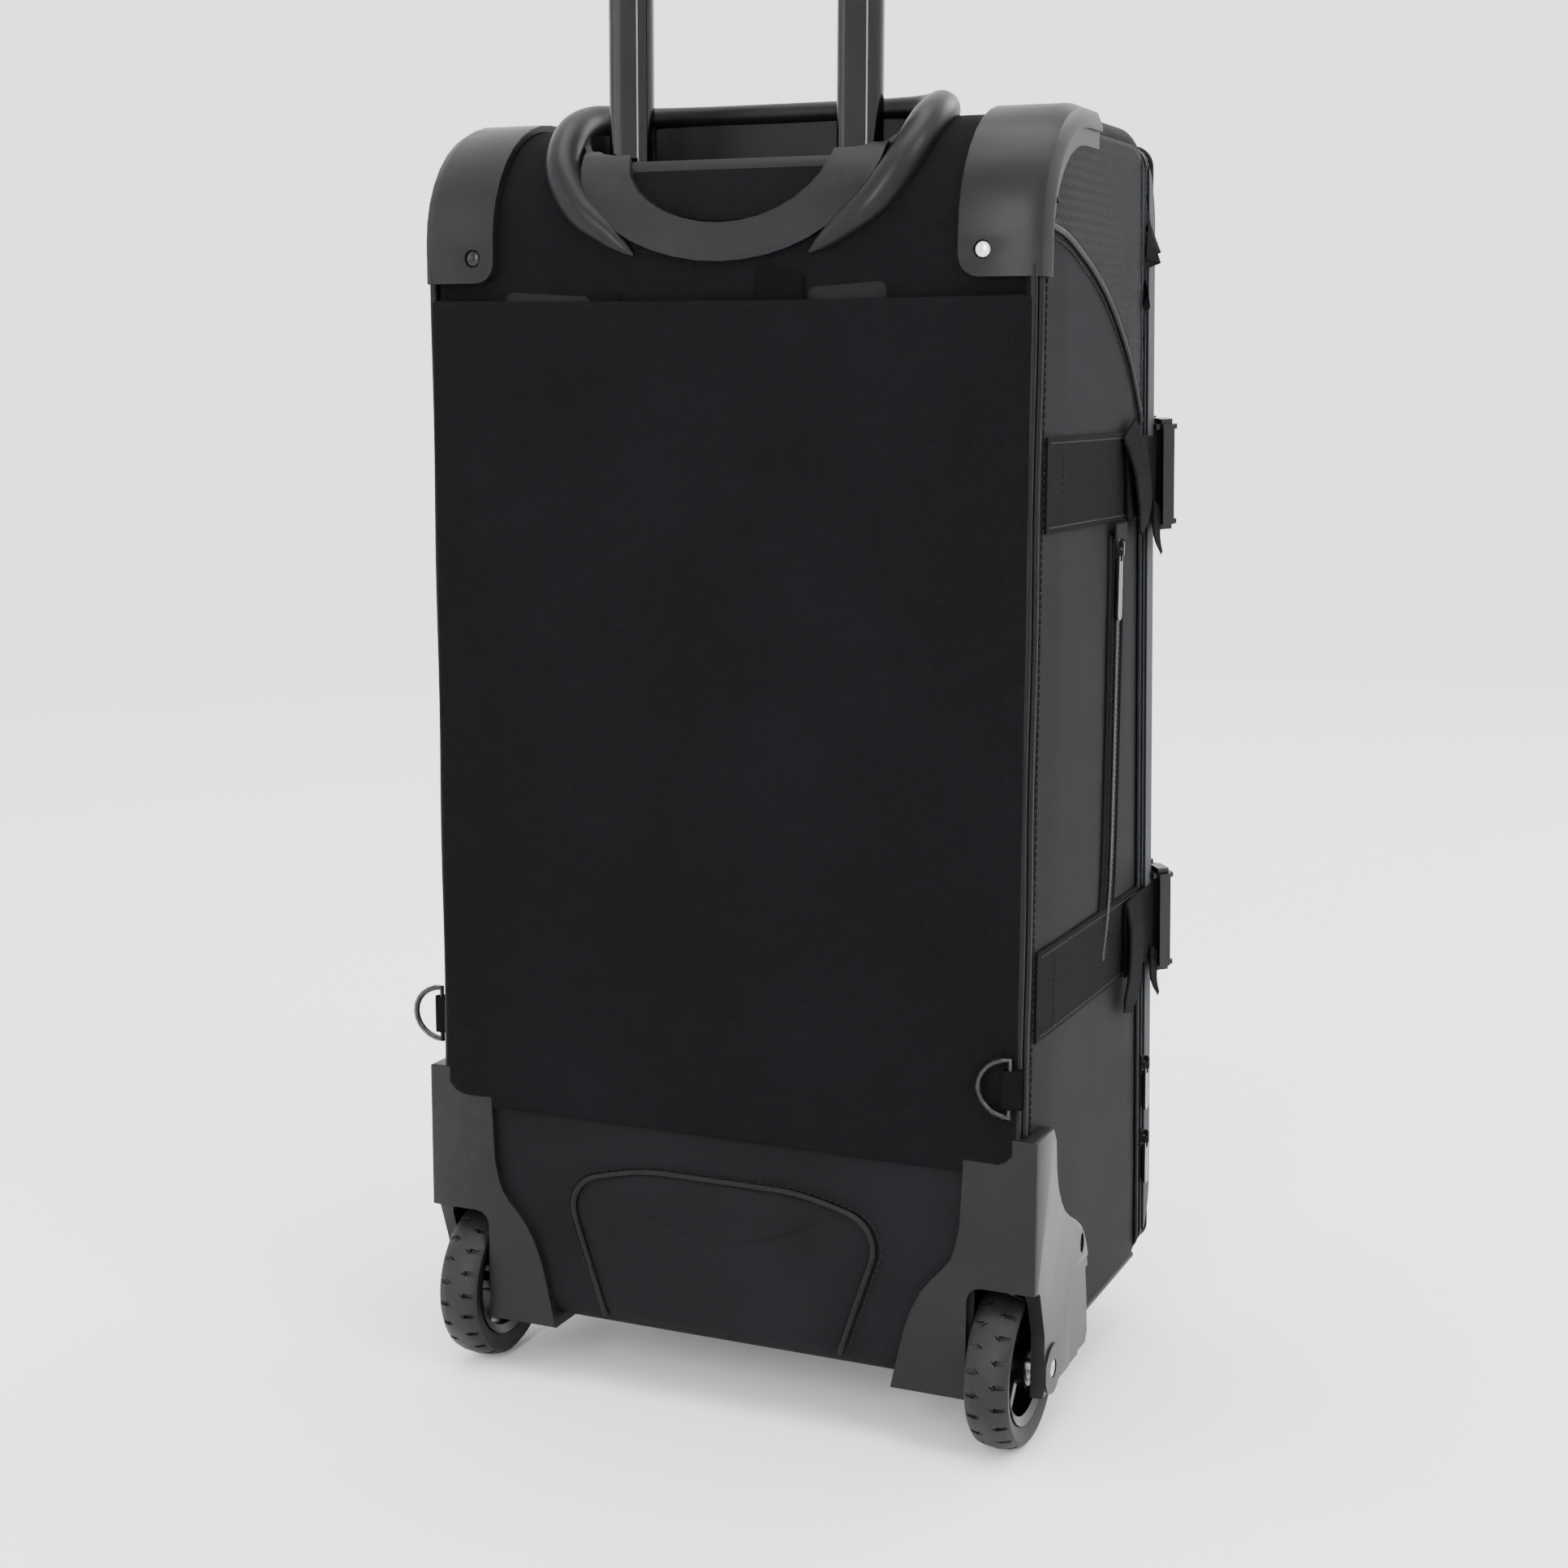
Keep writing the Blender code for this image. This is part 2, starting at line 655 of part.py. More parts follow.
def tyre(side, sign):
    """Rubber tyre with a rounded crown and notched shoulders."""
    half = TYRE_WIDTH / 2
    crown = WHEEL_RADIUS
    profile = [(RIM_RADIUS + GAP, -0.0095), (RIM_RADIUS + GAP, 0.0095)]
    profile += [(0.0385, 0.0118), (0.0425, half), (0.0452, 0.0103), (0.0464, 0.0065), (crown, 0.0)]
    profile += [(0.0464, -0.0065), (0.0452, -0.0103), (0.0425, -half), (0.0385, -0.0118)]
    ring = lathe(profile, 44, (0, 0, 0))
    notches = bmesh.new()
    for k in range(TREAD_BLOCKS):
        for edge_sign in (1, -1):
            made = bmesh.ops.create_cube(notches, size=1.0)
            verts = made["verts"]
            bmesh.ops.scale(notches, vec=(0.0085, 0.0026, 0.0050), verts=verts)
            bmesh.ops.translate(notches, vec=(edge_sign * 0.0093, 0, crown - 0.0006), verts=verts)
            turn = Matrix.Rotation(2 * math.pi * (k + 0.25 * edge_sign) / TREAD_BLOCKS, 3, "X")
            bmesh.ops.rotate(notches, matrix=turn, verts=verts)
    mesh = bpy.data.meshes.new("notches")
    notches.to_mesh(mesh)
    notches.free()
    ring = cut(ring, link("notches", mesh))
    ring.data.transform(Matrix.Translation((sign * WHEEL_X, AXLE_Y, WHEEL_RADIUS)))
    return finish(ring, f"tyre_{side}", "rubber", (sign * WHEEL_X, AXLE_Y, WHEEL_RADIUS))


def rim(side, sign):
    """Spoked rim: outer ring, hub with two bearing seats and open spokes."""
    ring = lathe([(0.0285, -0.0085), (RIM_RADIUS, -0.0105), (RIM_RADIUS, 0.0105), (0.0285, 0.0085)],
                 40, (0, 0, 0))
    hub = rod(HUB_RADIUS, -0.0112, 0.0112, "X", (0, 0), 20)
    arms = []
    for k in range(SPOKES):
        arm = box((0.0100, 0.0052, 0.0210), (0, 0, 0.0200), name="spoke")
        arm.data.transform(Matrix.Rotation(2 * math.pi * k / SPOKES, 4, "X"))
        arms.append(arm)
    wheel = fuse(ring, hub, *arms)
    seats = [rod(BEARING_RADIUS + 0.0001, low, high, "X", (0, 0), 20)
             for low, high in ((-0.02, -0.0060), (0.0060, 0.02))]
    wheel = cut(wheel, *seats, rod(0.0048, -0.02, 0.02, "X", (0, 0), 16))
    wheel.data.transform(Matrix.Translation((sign * WHEEL_X, AXLE_Y, WHEEL_RADIUS)))
    finish(wheel, f"wheel_rim_{side}", "gloss", (sign * WHEEL_X, AXLE_Y, WHEEL_RADIUS))
    for place, low in (("inner", -0.0110), ("outer", 0.0062)):
        low = low if sign > 0 else -low - 0.0048
        profile = [(AXLE_RADIUS + 0.0001, low), (BEARING_RADIUS, low), (BEARING_RADIUS, low + 0.0048),
                   (AXLE_RADIUS + 0.0001, low + 0.0048)]
        race = lathe(profile, 20, (sign * WHEEL_X, AXLE_Y, WHEEL_RADIUS))
        finish(race, f"bearing_{place}_{side}", "steel", (sign * WHEEL_X, AXLE_Y, WHEEL_RADIUS))


def axle(side, sign):
    """Shoulder bolt through both arms, with a flat socket head."""
    low, high = 0.1450, ARM_OUTER + 0.0006
    profile = [(0.0, low), (AXLE_RADIUS, low), (AXLE_RADIUS, high - 0.0013), (0.0048, high - 0.0013),
               (0.0048, high), (0.0016, high), (0.0016, high - 0.0010), (0.0, high - 0.0010)]
    bolt = lathe(profile, 16, (0, AXLE_Y, WHEEL_RADIUS))
    return finish(mirrored(bolt, sign), f"axle_bolt_{side}", "steel")


# ---------------------------------------------------------------- telescopic handle


def oval_tube(name, material, half_x, half_y, wall, low, high, sign, parent=None):
    x = sign * TUBE_X
    outer = [(x + u, TUBE_Y + v) for u, v in oval(half_x, half_y)]
    inner = [(x + u, TUBE_Y + v) for u, v in oval(half_x - wall, half_y - wall)]
    made = plate([outer, inner], low, high, "xy")
    return finish(made, name, material, (x, TUBE_Y, low), parent)


def oval(half_x, half_y):
    """A flat-sided oval: a box rounded almost all the way on its short sides."""
    round_off = half_y * 0.86
    return fillet([(-half_x, -half_y, round_off), (half_x, -half_y, round_off),
                   (half_x, half_y, round_off), (-half_x, half_y, round_off)], 4)


def handle_tubes():
    for side, sign in SIDES.items():
        oval_tube(f"fixed_tube_{side}", "tube", 0.0142, 0.0096, 0.0012, 0.0630, CUP_FLOOR - GAP, sign)
        oval_tube(f"stage1_tube_{side}", "tube", 0.0124, 0.0078, 0.0012, 0.5470, 0.8470, sign)
        oval_tube(f"stage2_tube_{side}", "tube", 0.0102, 0.0058, 0.0011, 0.7670, GRIP_BOTTOM - GAP, sign)


def handle_base():
    """Moulded foot that ties the two fixed tubes together inside the case."""
    base = span((-0.088, TUBE_Y - 0.0120, BOTTOM + WALL + GAP), (0.088, TUBE_Y + 0.0120, 0.0720), 0.002)
    for sign in SIDES.values():
        seat = [(sign * TUBE_X + u, TUBE_Y + v) for u, v in oval(0.0142 + GAP, 0.0096 + GAP)]
        base = cut(base, plate([seat], 0.0627, 0.1, "xy"))
    return finish(base, "handle_base", "plastic")


def handle_surround():
    """Moulded recess for the grip: cup, raised roll round three sides and a U band below."""
    cup = plate([cup_outline(0.0030)], CUP_FLOOR, TOP + 0.006, "xy")
    cup = clip(cup, body_solid(0.0016, 0.0016, 0.0, 0.0, 0.0))
    band = [*ellipse(0, 0.7000, 0.0880, 0.0600, math.pi, 2 * math.pi, 20), (0.088, 0.7000), (0.0595, 0.7000)]
    band = band[:-2] + ellipse(0, 0.7000, 0.0595, 0.0400, 2 * math.pi, math.pi, 16)
    skin = body_solid(0.0040, 0.0040, 0.0, 0.0, 0.0)
    skin = clip(skin, plate([band], REAR - 0.030, REAR + 0.02, "xz"))
    knots = [(0.000, -0.0795, RIM_Z, 0.52), (0.070, -0.0795, RIM_Z, 0.55), (0.0930, -0.0720, 0.7215, 0.80),
             (0.1030, -0.0520, 0.7180, 1.0), (0.1040, -0.0300, 0.7090, 1.02), (0.0995, -0.0120, 0.6905, 1.0),
             (0.0860, -0.0030, 0.6700, 0.90), (0.0680, -0.0005, 0.6560, 0.62)]
    half = smooth_path(knots, 4)
    both = [(-p[0], *p[1:]) for p in reversed(half[1:])] + [tuple(p) for p in half]
    roll = tube([(p[0], REAR + p[1], p[2]) for p in both], 0.0100, [p[3] for p in both], sides=2)
    surround = fuse(roll, skin)
    surround = cut(surround, body_solid(GAP, GAP, GAP, GAP, GAP))
    surround = fuse(surround, cup)
    inside = plate([cup_outline(0.0)], CUP_FLOOR + 0.003, TOP + 0.05, "xy")
    surround = cut(surround, inside)
    for sign in SIDES.values():
        hole = [(sign * TUBE_X + u, TUBE_Y + v) for u, v in oval(0.0124 + 0.0008, 0.0078 + 0.0008)]
        surround = cut(surround, plate([hole], CUP_FLOOR - 0.01, CUP_FLOOR + 0.01, "xy"))
    return finish(surround, "handle_surround", "plastic")


def surround_insert():
    """Fabric panel framed by the band under the recess."""
    shape = ellipse(0, 0.7000, 0.0595 - 0.0005, 0.0400 - 0.0005, math.pi * 1.09, math.pi * 1.91, 14)
    panel = clip(body_solid(0.0022, 0.0022), plate([shape], REAR - 0.030, REAR + 0.02, "xz"))
    near_wall = plate([cup_outline(0.0030 + GAP)], CUP_FLOOR - 0.02, TOP + 0.02, "xy")
    panel = cut(panel, body_solid(GAP, GAP), near_wall)
    return finish(panel, "surround_insert", "twill")


def grip():
    """Padded bar across the two inner tubes, hollow for the release yoke."""
    half = 0.0810
    depth = 0.0150
    plan = fillet([(-half, TUBE_Y - depth, 0.013), (half, TUBE_Y - depth, 0.013),
                   (half, TUBE_Y + depth, 0.013), (-half, TUBE_Y + depth, 0.013)], 4)
    front = fillet([(-half, GRIP_BOTTOM, 0.006), (half, GRIP_BOTTOM, 0.006),
                    (half, GRIP_BOTTOM + GRIP_HEIGHT, 0.016), (-half, GRIP_BOTTOM + GRIP_HEIGHT, 0.016)], 4)
    bar = plate([plan], GRIP_BOTTOM, GRIP_BOTTOM + GRIP_HEIGHT, "xy", 0.0040)
    bar = clip(bar, plate([front], TUBE_Y - 0.1, TUBE_Y + 0.1, "xz"))
    yoke_room = span((-0.0745, TUBE_Y - 0.0058, GRIP_BOTTOM + 0.0080), (0.0745, TUBE_Y + 0.0058, GRIP_BOTTOM + 0.0190))
    button_hole = span((-0.0160, TUBE_Y - 0.0070, GRIP_BOTTOM + 0.011), (0.0160, TUBE_Y + 0.0070, GRIP_BOTTOM + 0.05))
    bar = cut(bar, yoke_room, button_hole)
    for sign in SIDES.values():
        bar = cut(bar, rod(0.0030, GRIP_BOTTOM - 0.01, GRIP_BOTTOM + 0.012, "Z", (sign * TUBE_X, TUBE_Y), 12))
    return finish(bar, "handle_grip", "gloss", (0, TUBE_Y, GRIP_BOTTOM))


def release():
    """Push button with its yoke, and the two rods that pull the lock pins."""
    top = GRIP_BOTTOM + GRIP_HEIGHT + 0.0015
    cap = span((-0.0153, TUBE_Y - 0.0063, GRIP_BOTTOM + 0.0165), (0.0153, TUBE_Y + 0.0063, top), 0.0014)
    yoke = span((-0.0720, TUBE_Y - 0.0050, GRIP_BOTTOM + 0.0130), (0.0720, TUBE_Y + 0.0050, GRIP_BOTTOM + 0.0184))
    button = fuse(cap, yoke)
    finish(button, "release_button", "gloss", (0, TUBE_Y, GRIP_BOTTOM + 0.0130))
    for side, sign in SIDES.items():
        pull = rod(0.0022, 0.7750, GRIP_BOTTOM + 0.0127, "Z", (sign * TUBE_X, TUBE_Y), 12)
        finish(pull, f"release_rod_{side}", "steel", (sign * TUBE_X, TUBE_Y, 0.7750))


# ---------------------------------------------------------------- lid, straps and buckles


def lid_panel(hinge):
    """Padded front panel that zips all round and folds open to the left."""
    lid = clip(body_solid(), seam_block(LID_THICKNESS, inside=False))
    lid = cut(lid, body_solid(-0.006, -0.006, -0.006, -0.006, -0.005, edge=0.003))
    return finish(lid, "lid_panel", "coated", hinge.location, hinge)


def front_pocket(hinge):
    """Pleated pocket on the lid: a fabric shell that is open towards the lid."""
    def outline(inset):
        return fillet([(-0.140 + inset, 0.012 + inset, 0.030 - inset),
                       (0.140 - inset, 0.012 + inset, 0.030 - inset),
                       (0.140 - inset, 0.555 - inset, 0.030 - inset),
                       (-0.140 + inset, 0.555 - inset, 0.030 - inset)], 5)

    pocket = plate([outline(0.0)], -0.0280, -GAP, "xz", 0.0080)
    pocket = cut(pocket, plate([outline(0.0100)], -0.0250, 0.01, "xz", 0.0030))
    pocket.data.transform(lid_place())
    return finish(pocket, "front_pocket", "coated", hinge.location, hinge)


def strap_z(level):
    return (STRAP_HEIGHTS[level] - LOW_Z) / math.cos(LEAN)


def front_strap(level, hinge):
    """Webbing from the left corner over the pocket to the buckle."""
    path = [(0.1740, -0.0060), (0.1640, -0.0120), (0.1440, -0.0240), (0.1330, -0.0296),
            (-0.1310, -0.0296), (-0.1395, -0.0318)]
    z = strap_z(level)
    outline = ribbon(path, WEB)
    strap = plate([outline], z - STRAP_WIDTH / 2, z + STRAP_WIDTH / 2, "xy")
    strap.data.transform(lid_place())
    return finish(strap, f"front_strap_{level}", "webbing", hinge.location, hinge)


def buckle_place(level):
    """Buckle coordinates: X along the buckle towards the front strap, -Y outwards, Z up."""
    start = Vector((-0.1896, 0.0085, strap_z(level)))
    turn = math.atan2(-0.764, 0.645)
    return lid_place() @ Matrix.Translation(start) @ Matrix.Rotation(turn, 4, "Z")


def buckle(level, hinge):
    """Side-release buckle in two halves: the prong stays on the lid, the socket pulls off."""
    place = buckle_place(level)
    body = box((0.0300, 0.0130, 0.0640), (0.0150, 0, 0), 0.0030, name="socket")
    room = box((0.0260, 0.0072, 0.0500), (0.0210, 0, 0), name="room")
    slot = box((0.0045, 0.0200, 0.0520), (0.0042, 0, 0), name="slot")
    windows = [box((0.0100, 0.0072, 0.02), (0.0200, 0, s * 0.030), name="window") for s in (1, -1)]
    socket = cut(body, room, slot, *windows)
    socket.data.transform(place)
    finish(socket, f"buckle_socket_{level}", "gloss", place.translation, hinge)
    base = box((0.0220, 0.0120, 0.0600), (0.0416, 0, 0), 0.0030, name="base")
    arms = [box((0.0240, 0.0056, 0.0070), (0.0220, 0, s * 0.0200), name="arm") for s in (1, -1)]
    guide = box((0.0200, 0.0040, 0.0060), (0.0240, 0, 0), name="guide")
    opening = box((0.0040, 0.0200, 0.0520), (0.0460, 0, 0), name="opening")
    prong = cut(fuse(base, *arms, guide), opening)
    prong.data.transform(place)
    finish(prong, f"buckle_prong_{level}", "gloss", hinge.location, hinge)


# ---------------------------------------------------------------- zip sliders


def zip_slider(name, place, tilt, pull_length):
    """Slider with its bridge and, hung on it, a pull tab; local -X is outwards, Z is the track."""
    turn = Matrix.Translation(place) @ Matrix.Rotation(tilt, 4, "X")
    body = span((-0.0026, -0.0042, -0.0055), (0.0, 0.0042, 0.0055), 0.0007)
    arch = span((-0.0064, -0.0014, -0.0042), (-0.0020, 0.0014, 0.0042), 0.0006)
    eye = rod(0.0014, -0.1, 0.1, "Y", (-0.0042, 0.0), 12)
    slider = cut(fuse(body, arch), eye)
    slider.data.transform(turn)
    finish(slider, f"{name}_slider", "wire", place)
    ring = [(u, v) for u, v in fillet([(-0.0034, 0.0010, 0.0008), (0.0034, 0.0010, 0.0008),
                                       (0.0042, -pull_length, 0.003), (-0.0042, -pull_length, 0.003)], 3)]
    hole = fillet([(-0.0020, 0.0, 0), (0.0020, 0.0, 0), (0.0020, -0.0070, 0.0008),
                   (-0.0020, -0.0070, 0.0008)], 2)
    pull = plate([ring, hole], -0.0007, 0.0007, "yz")
    bar = rod(0.0009, -0.0024, 0.0024, "Y", (0.0, 0.0), 12)
    pull = fuse(cut(pull, span((-0.01, -0.0018, -0.0030), (0.01, 0.0018, 0.0030))), bar)
    pull.data.transform(Matrix.Translation((-0.0042, 0, 0)))
    pull.data.transform(turn)
    finish(pull, f"{name}_pull", "wire", turn @ Vector((-0.0042, 0, 0)))


def zip_sliders():
    side = -(HALF_WIDTH + GAP)
    zip_slider("side_zip", (side, REAR - 0.138, 0.486), 0.0, 0.040)
    for name, z in (("main_zip_upper", 0.168), ("main_zip_lower", 0.120)):
        y = front_y(z) + LID_THICKNESS / math.cos(LEAN)
        zip_slider(name, (side, y, z), -LEAN, 0.030)


# ---------------------------------------------------------------- assembly


def build():
    case_shell()
    back_board()
    frame_wire()
    rear_pocket_panel()
    lower_rear_panel()
    kick_pad()
    handle_surround()
    surround_insert()
    handle_tubes()
    handle_base()
    grip()
    release()
    top_handle()
    for side, sign in SIDES.items():
        top_guard(side, sign)
        wheel_housing(side, sign)
        stowed_strap(side, sign)
        front_foot(side, sign)
        d_ring(side, sign)
        tyre(side, sign)
        rim(side, sign)
        axle(side, sign)
        for level in STRAP_HEIGHTS:
            side_strap(side, sign, level)
    seam = lid_place() @ Vector((HALF_WIDTH, LID_THICKNESS + GAP / 2, 0))
    hinge = pivot("lid_hinge", seam, -LEAN)
    lid_panel(hinge)
    front_pocket(hinge)
    for level in STRAP_HEIGHTS:
        front_strap(level, hinge)
        buckle(level, hinge)
    zip_sliders()


clear_scene()
for group in ("build", "pivots", "softside_suitcase"):
    new_collection(group)
MATERIALS = all_materials()
build()
bpy.data.collections.remove(bpy.data.collections["build"])
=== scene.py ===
"""Softside upright suitcase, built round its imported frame.

Metres, +Z up. The rear with the handle and the wheels faces +Y, the lid faces -Y and left is +X.
Every new piece is a surface worked out as whole arrays: a function of two parameters on a grid, or a
profile carried along a path.
"""

import json
import math

import bmesh
import bpy
import numpy as np
from bpy.props import FloatProperty, FloatVectorProperty, PointerProperty
from bpy.types import Operator, Panel, PropertyGroup
from mathutils import Matrix, Vector

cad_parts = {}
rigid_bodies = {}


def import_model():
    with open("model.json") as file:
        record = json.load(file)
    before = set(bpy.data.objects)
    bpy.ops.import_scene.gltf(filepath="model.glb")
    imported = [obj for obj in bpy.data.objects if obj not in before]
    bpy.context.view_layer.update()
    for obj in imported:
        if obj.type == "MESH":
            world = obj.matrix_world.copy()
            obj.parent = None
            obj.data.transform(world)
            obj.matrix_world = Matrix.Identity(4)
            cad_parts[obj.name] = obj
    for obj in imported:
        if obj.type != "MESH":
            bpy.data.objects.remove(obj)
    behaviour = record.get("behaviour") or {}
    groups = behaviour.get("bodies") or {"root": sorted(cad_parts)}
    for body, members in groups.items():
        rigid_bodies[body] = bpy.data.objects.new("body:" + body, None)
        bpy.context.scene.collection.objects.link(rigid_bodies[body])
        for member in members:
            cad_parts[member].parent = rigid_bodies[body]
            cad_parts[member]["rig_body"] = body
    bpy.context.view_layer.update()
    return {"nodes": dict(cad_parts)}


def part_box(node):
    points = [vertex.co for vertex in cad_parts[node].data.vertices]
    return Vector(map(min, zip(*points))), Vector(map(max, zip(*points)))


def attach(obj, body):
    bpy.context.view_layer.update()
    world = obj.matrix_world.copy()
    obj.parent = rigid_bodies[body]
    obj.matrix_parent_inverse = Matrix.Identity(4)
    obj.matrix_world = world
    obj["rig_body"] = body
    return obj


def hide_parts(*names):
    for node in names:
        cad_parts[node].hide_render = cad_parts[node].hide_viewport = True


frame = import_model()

bl_info = {
    "name": "Softside Upright Suitcase",
    "version": (1, 0, 0),
    "blender": (4, 5, 0),
    "location": "View3D > Sidebar > Suitcase",
    "description": "Builds the soft shell, trims, hardware and finishes of a wheeled suitcase",
    "category": "Add Mesh",
}

# ---------------------------------------------------------------- sizes taken from the frame

SHELL_LOW, SHELL_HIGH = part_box("case_shell")
HALF_WIDTH = SHELL_HIGH.x
REAR = SHELL_HIGH.y
TOP = SHELL_HIGH.z
BOTTOM = SHELL_LOW.z
LOW_DEPTH = 0.250
LOW_Z = 0.080
TAN_LEAN = 0.045 / 0.580
COS_LEAN = 1 / math.hypot(1, TAN_LEAN)
SIN_LEAN = TAN_LEAN * COS_LEAN
LID_DEPTH = 0.020
SEAM_GAP = 0.0004
REAR_TOP_RADIUS = 0.062
REAR_BOTTOM_RADIUS = 0.012
FRONT_TOP_RADIUS = 0.055
FRONT_BOTTOM_RADIUS = 0.045
EDGE = 0.008
SLEEVE_LOW, SLEEVE_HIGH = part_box("rear_pocket_panel")
STRAPS = {"upper": 0.5255, "lower": 0.2570}
STRAP_WIDTH = 0.050
CUP_FLOOR = 0.640
RIM_Z = 0.723
SIDES = {"left": 1, "right": -1}
# the space a wheel turns in: how far forward of the rear plane, how high, how far in
WELL_DEPTH = 0.0815
WELL_TOP = 0.1005
WELL_INNER = 0.1450
# columns of the long bands over the case and the lid
BAND_COLUMNS = 88
# how far apart a cord's points are
CORD_STEP = 0.004


# ---------------------------------------------------------------- arrays


def smoothstep(low, high, value):
    """0 below low, 1 above high, and the cubic 3t^2 - 2t^3 between."""
    share = np.clip((value - low) / (high - low), 0.0, 1.0)
    return share * share * (3 - 2 * share)


def unit(vectors):
    """Vectors of length one."""
    return vectors / np.maximum(np.linalg.norm(vectors, axis=-1, keepdims=True), 1e-12)


def ripple(a, b, seed):
    """Soft folds: a sum of five slanted sine waves of falling length, from -1 to 1."""
    total = np.zeros_like(a)
    for k in range(5):
        turn = seed * 1.7 + k * 2.399
        wave = 14.0 * 1.62 ** k
        total += np.sin(wave * (a * math.cos(turn) + b * math.sin(turn)) + seed * 5.1 + k) / (k + 1.4)
    return total / 2.0


def spline(knots, per_span=8, closed=False):
    """Catmull-Rom curve through the knots, as an array of points."""
    knots = np.asarray(knots, float)
    if closed:
        held = np.concatenate([knots[-1:], knots, knots[:2]])
    else:
        held = np.concatenate([2 * knots[:1] - knots[1:2], knots, 2 * knots[-1:] - knots[-2:-1]])
    t = np.linspace(0, 1, per_span, endpoint=False)[:, None]
    a, b, c, d = held[:-3, None], held[1:-2, None], held[2:-1, None], held[3:, None]
    curve = 0.5 * (2 * b + (c - a) * t + (2 * a - 5 * b + 4 * c - d) * t ** 2
                   + (3 * b - a - 3 * c + d) * t ** 3)
    curve = curve.reshape(-1, knots.shape[1])
    return curve if closed else np.concatenate([curve, knots[-1:]])


def spaced(points, step):
    """The same line with its points an even distance apart, close to step."""
    points = np.asarray(points, float)
    reach = np.concatenate([[0], np.cumsum(np.linalg.norm(np.diff(points, axis=0), axis=1))])
    count = max(2, int(round(reach[-1] / step)) + 1)
    at = np.linspace(0, reach[-1], count)
    return np.stack([np.interp(at, reach, points[:, k]) for k in range(points.shape[1])], 1)


def filleted(corners, per_corner=6):
    """A closed outline whose corners (u, v, radius) are rounded with arcs."""
    corners = np.asarray(corners, float)
    found = []
    for k in range(len(corners)):
        before, here, after = corners[k - 1, :2], corners[k, :2], corners[(k + 1) % len(corners), :2]
        radius = corners[k, 2]
        one, two = unit(before - here), unit(after - here)
        half = math.acos(float(np.clip(one @ two, -1, 1))) / 2
        if radius < 1e-6:
            found.append(here[None])
            continue
        centre = here + unit(one + two) * radius / math.sin(half)
        start, end = here + one * radius / math.tan(half), here + two * radius / math.tan(half)
        t = np.linspace(0, 1, per_corner)[:, None]
        arc = unit((start - centre) * (1 - t) + (end - centre) * t)
        found.append(centre + arc * radius)
    return np.concatenate(found)


# ---------------------------------------------------------------- patches


def quads(rows, columns, wrap_rows=False, wrap_columns=False):
    """Corner numbers of a grid's quads; a wrapped side joins its last line to its first."""
    r = np.arange(rows if wrap_rows else rows - 1)[:, None]
    c = np.arange(columns if wrap_columns else columns - 1)[None, :]
    r2, c2 = (r + 1) % rows, (c + 1) % columns
    return np.stack([r * columns + c, r * columns + c2, r2 * columns + c2, r2 * columns + c], -1)


def patch(points, wrap_rows=False, wrap_columns=False, keep=None, flip=False, slot=0, uv=None):
    """A grid of points as vertices and quads; keep picks the quads by a true or false grid."""
    rows, columns = points.shape[:2]
    faces = quads(rows, columns, wrap_rows, wrap_columns)
    faces = faces.reshape(-1, 4) if keep is None else faces[keep]
    if flip:
        faces = faces[:, ::-1]
    if uv is None:
        uv = np.stack(np.broadcast_arrays(np.linspace(0, 1, rows)[:, None],
                                          np.linspace(0, 1, columns)[None, :]), -1)
    return {"points": points.reshape(-1, 3), "faces": faces, "slot": slot, "uv": uv.reshape(-1, 2)}


def fan(ring, flip=False, slot=0, centre=None):
    """Closes a ring with a quad fan to its centre; the quads of a fan are its triangles."""
    count = len(ring)
    centre = ring.mean(0) if centre is None else np.asarray(centre, float)
    points = np.concatenate([ring, centre[None]])
    index = np.arange(count)
    faces = np.stack([index, (index + 1) % count, np.full(count, count), np.full(count, count)], 1)
    faces = faces[:, [1, 0, 2, 3]] if flip else faces
    return {"points": points, "faces": faces, "slot": slot, "uv": np.zeros((count + 1, 2))}


def frames(path, up, closed=False):
    """Unit directions along, across and above a path, from its slope and a direction that is up."""
    if closed:
        along = unit(np.roll(path, -1, 0) - np.roll(path, 1, 0))
    else:
        along = unit(np.gradient(path, axis=0))
    up = np.broadcast_to(np.asarray(up, float), path.shape)
    across = unit(np.cross(along, up))
    return along, across, np.cross(across, along)


def carried(path, profile, up, closed=False, scale=None, slot=0, caps=True):
    """A closed profile (across, above) carried along a path, with its ends closed."""
    path = np.asarray(path, float)
    profile = np.asarray(profile, float)
    _, across, above = frames(path, up, closed)
    size = np.ones(len(path)) if scale is None else np.asarray(scale, float)
    spread = profile[None] * size[:, None, None]
    points = path[:, None] + spread[..., :1] * across[:, None] + spread[..., 1:] * above[:, None]
    reach = np.concatenate([[0], np.cumsum(np.linalg.norm(np.diff(path, axis=0), axis=1))])
    girth = np.concatenate([[0], np.cumsum(np.linalg.norm(np.diff(profile, axis=0), axis=1))])
    uv = np.stack(np.broadcast_arrays(reach[:, None], girth[None]), -1)
    made = [patch(points, closed, True, slot=slot, uv=uv, flip=True)]
    if caps and not closed:
        made += [fan(points[0], slot=slot, flip=False), fan(points[-1], slot=slot, flip=True)]
    return made


def round_profile(radius, sides=10, flat=1.0):
    """Section of a cord, flattened by a share."""
    angle = np.linspace(0, 2 * math.pi, sides, endpoint=False)
    return np.stack([radius * np.cos(angle), radius * flat * np.sin(angle)], 1)


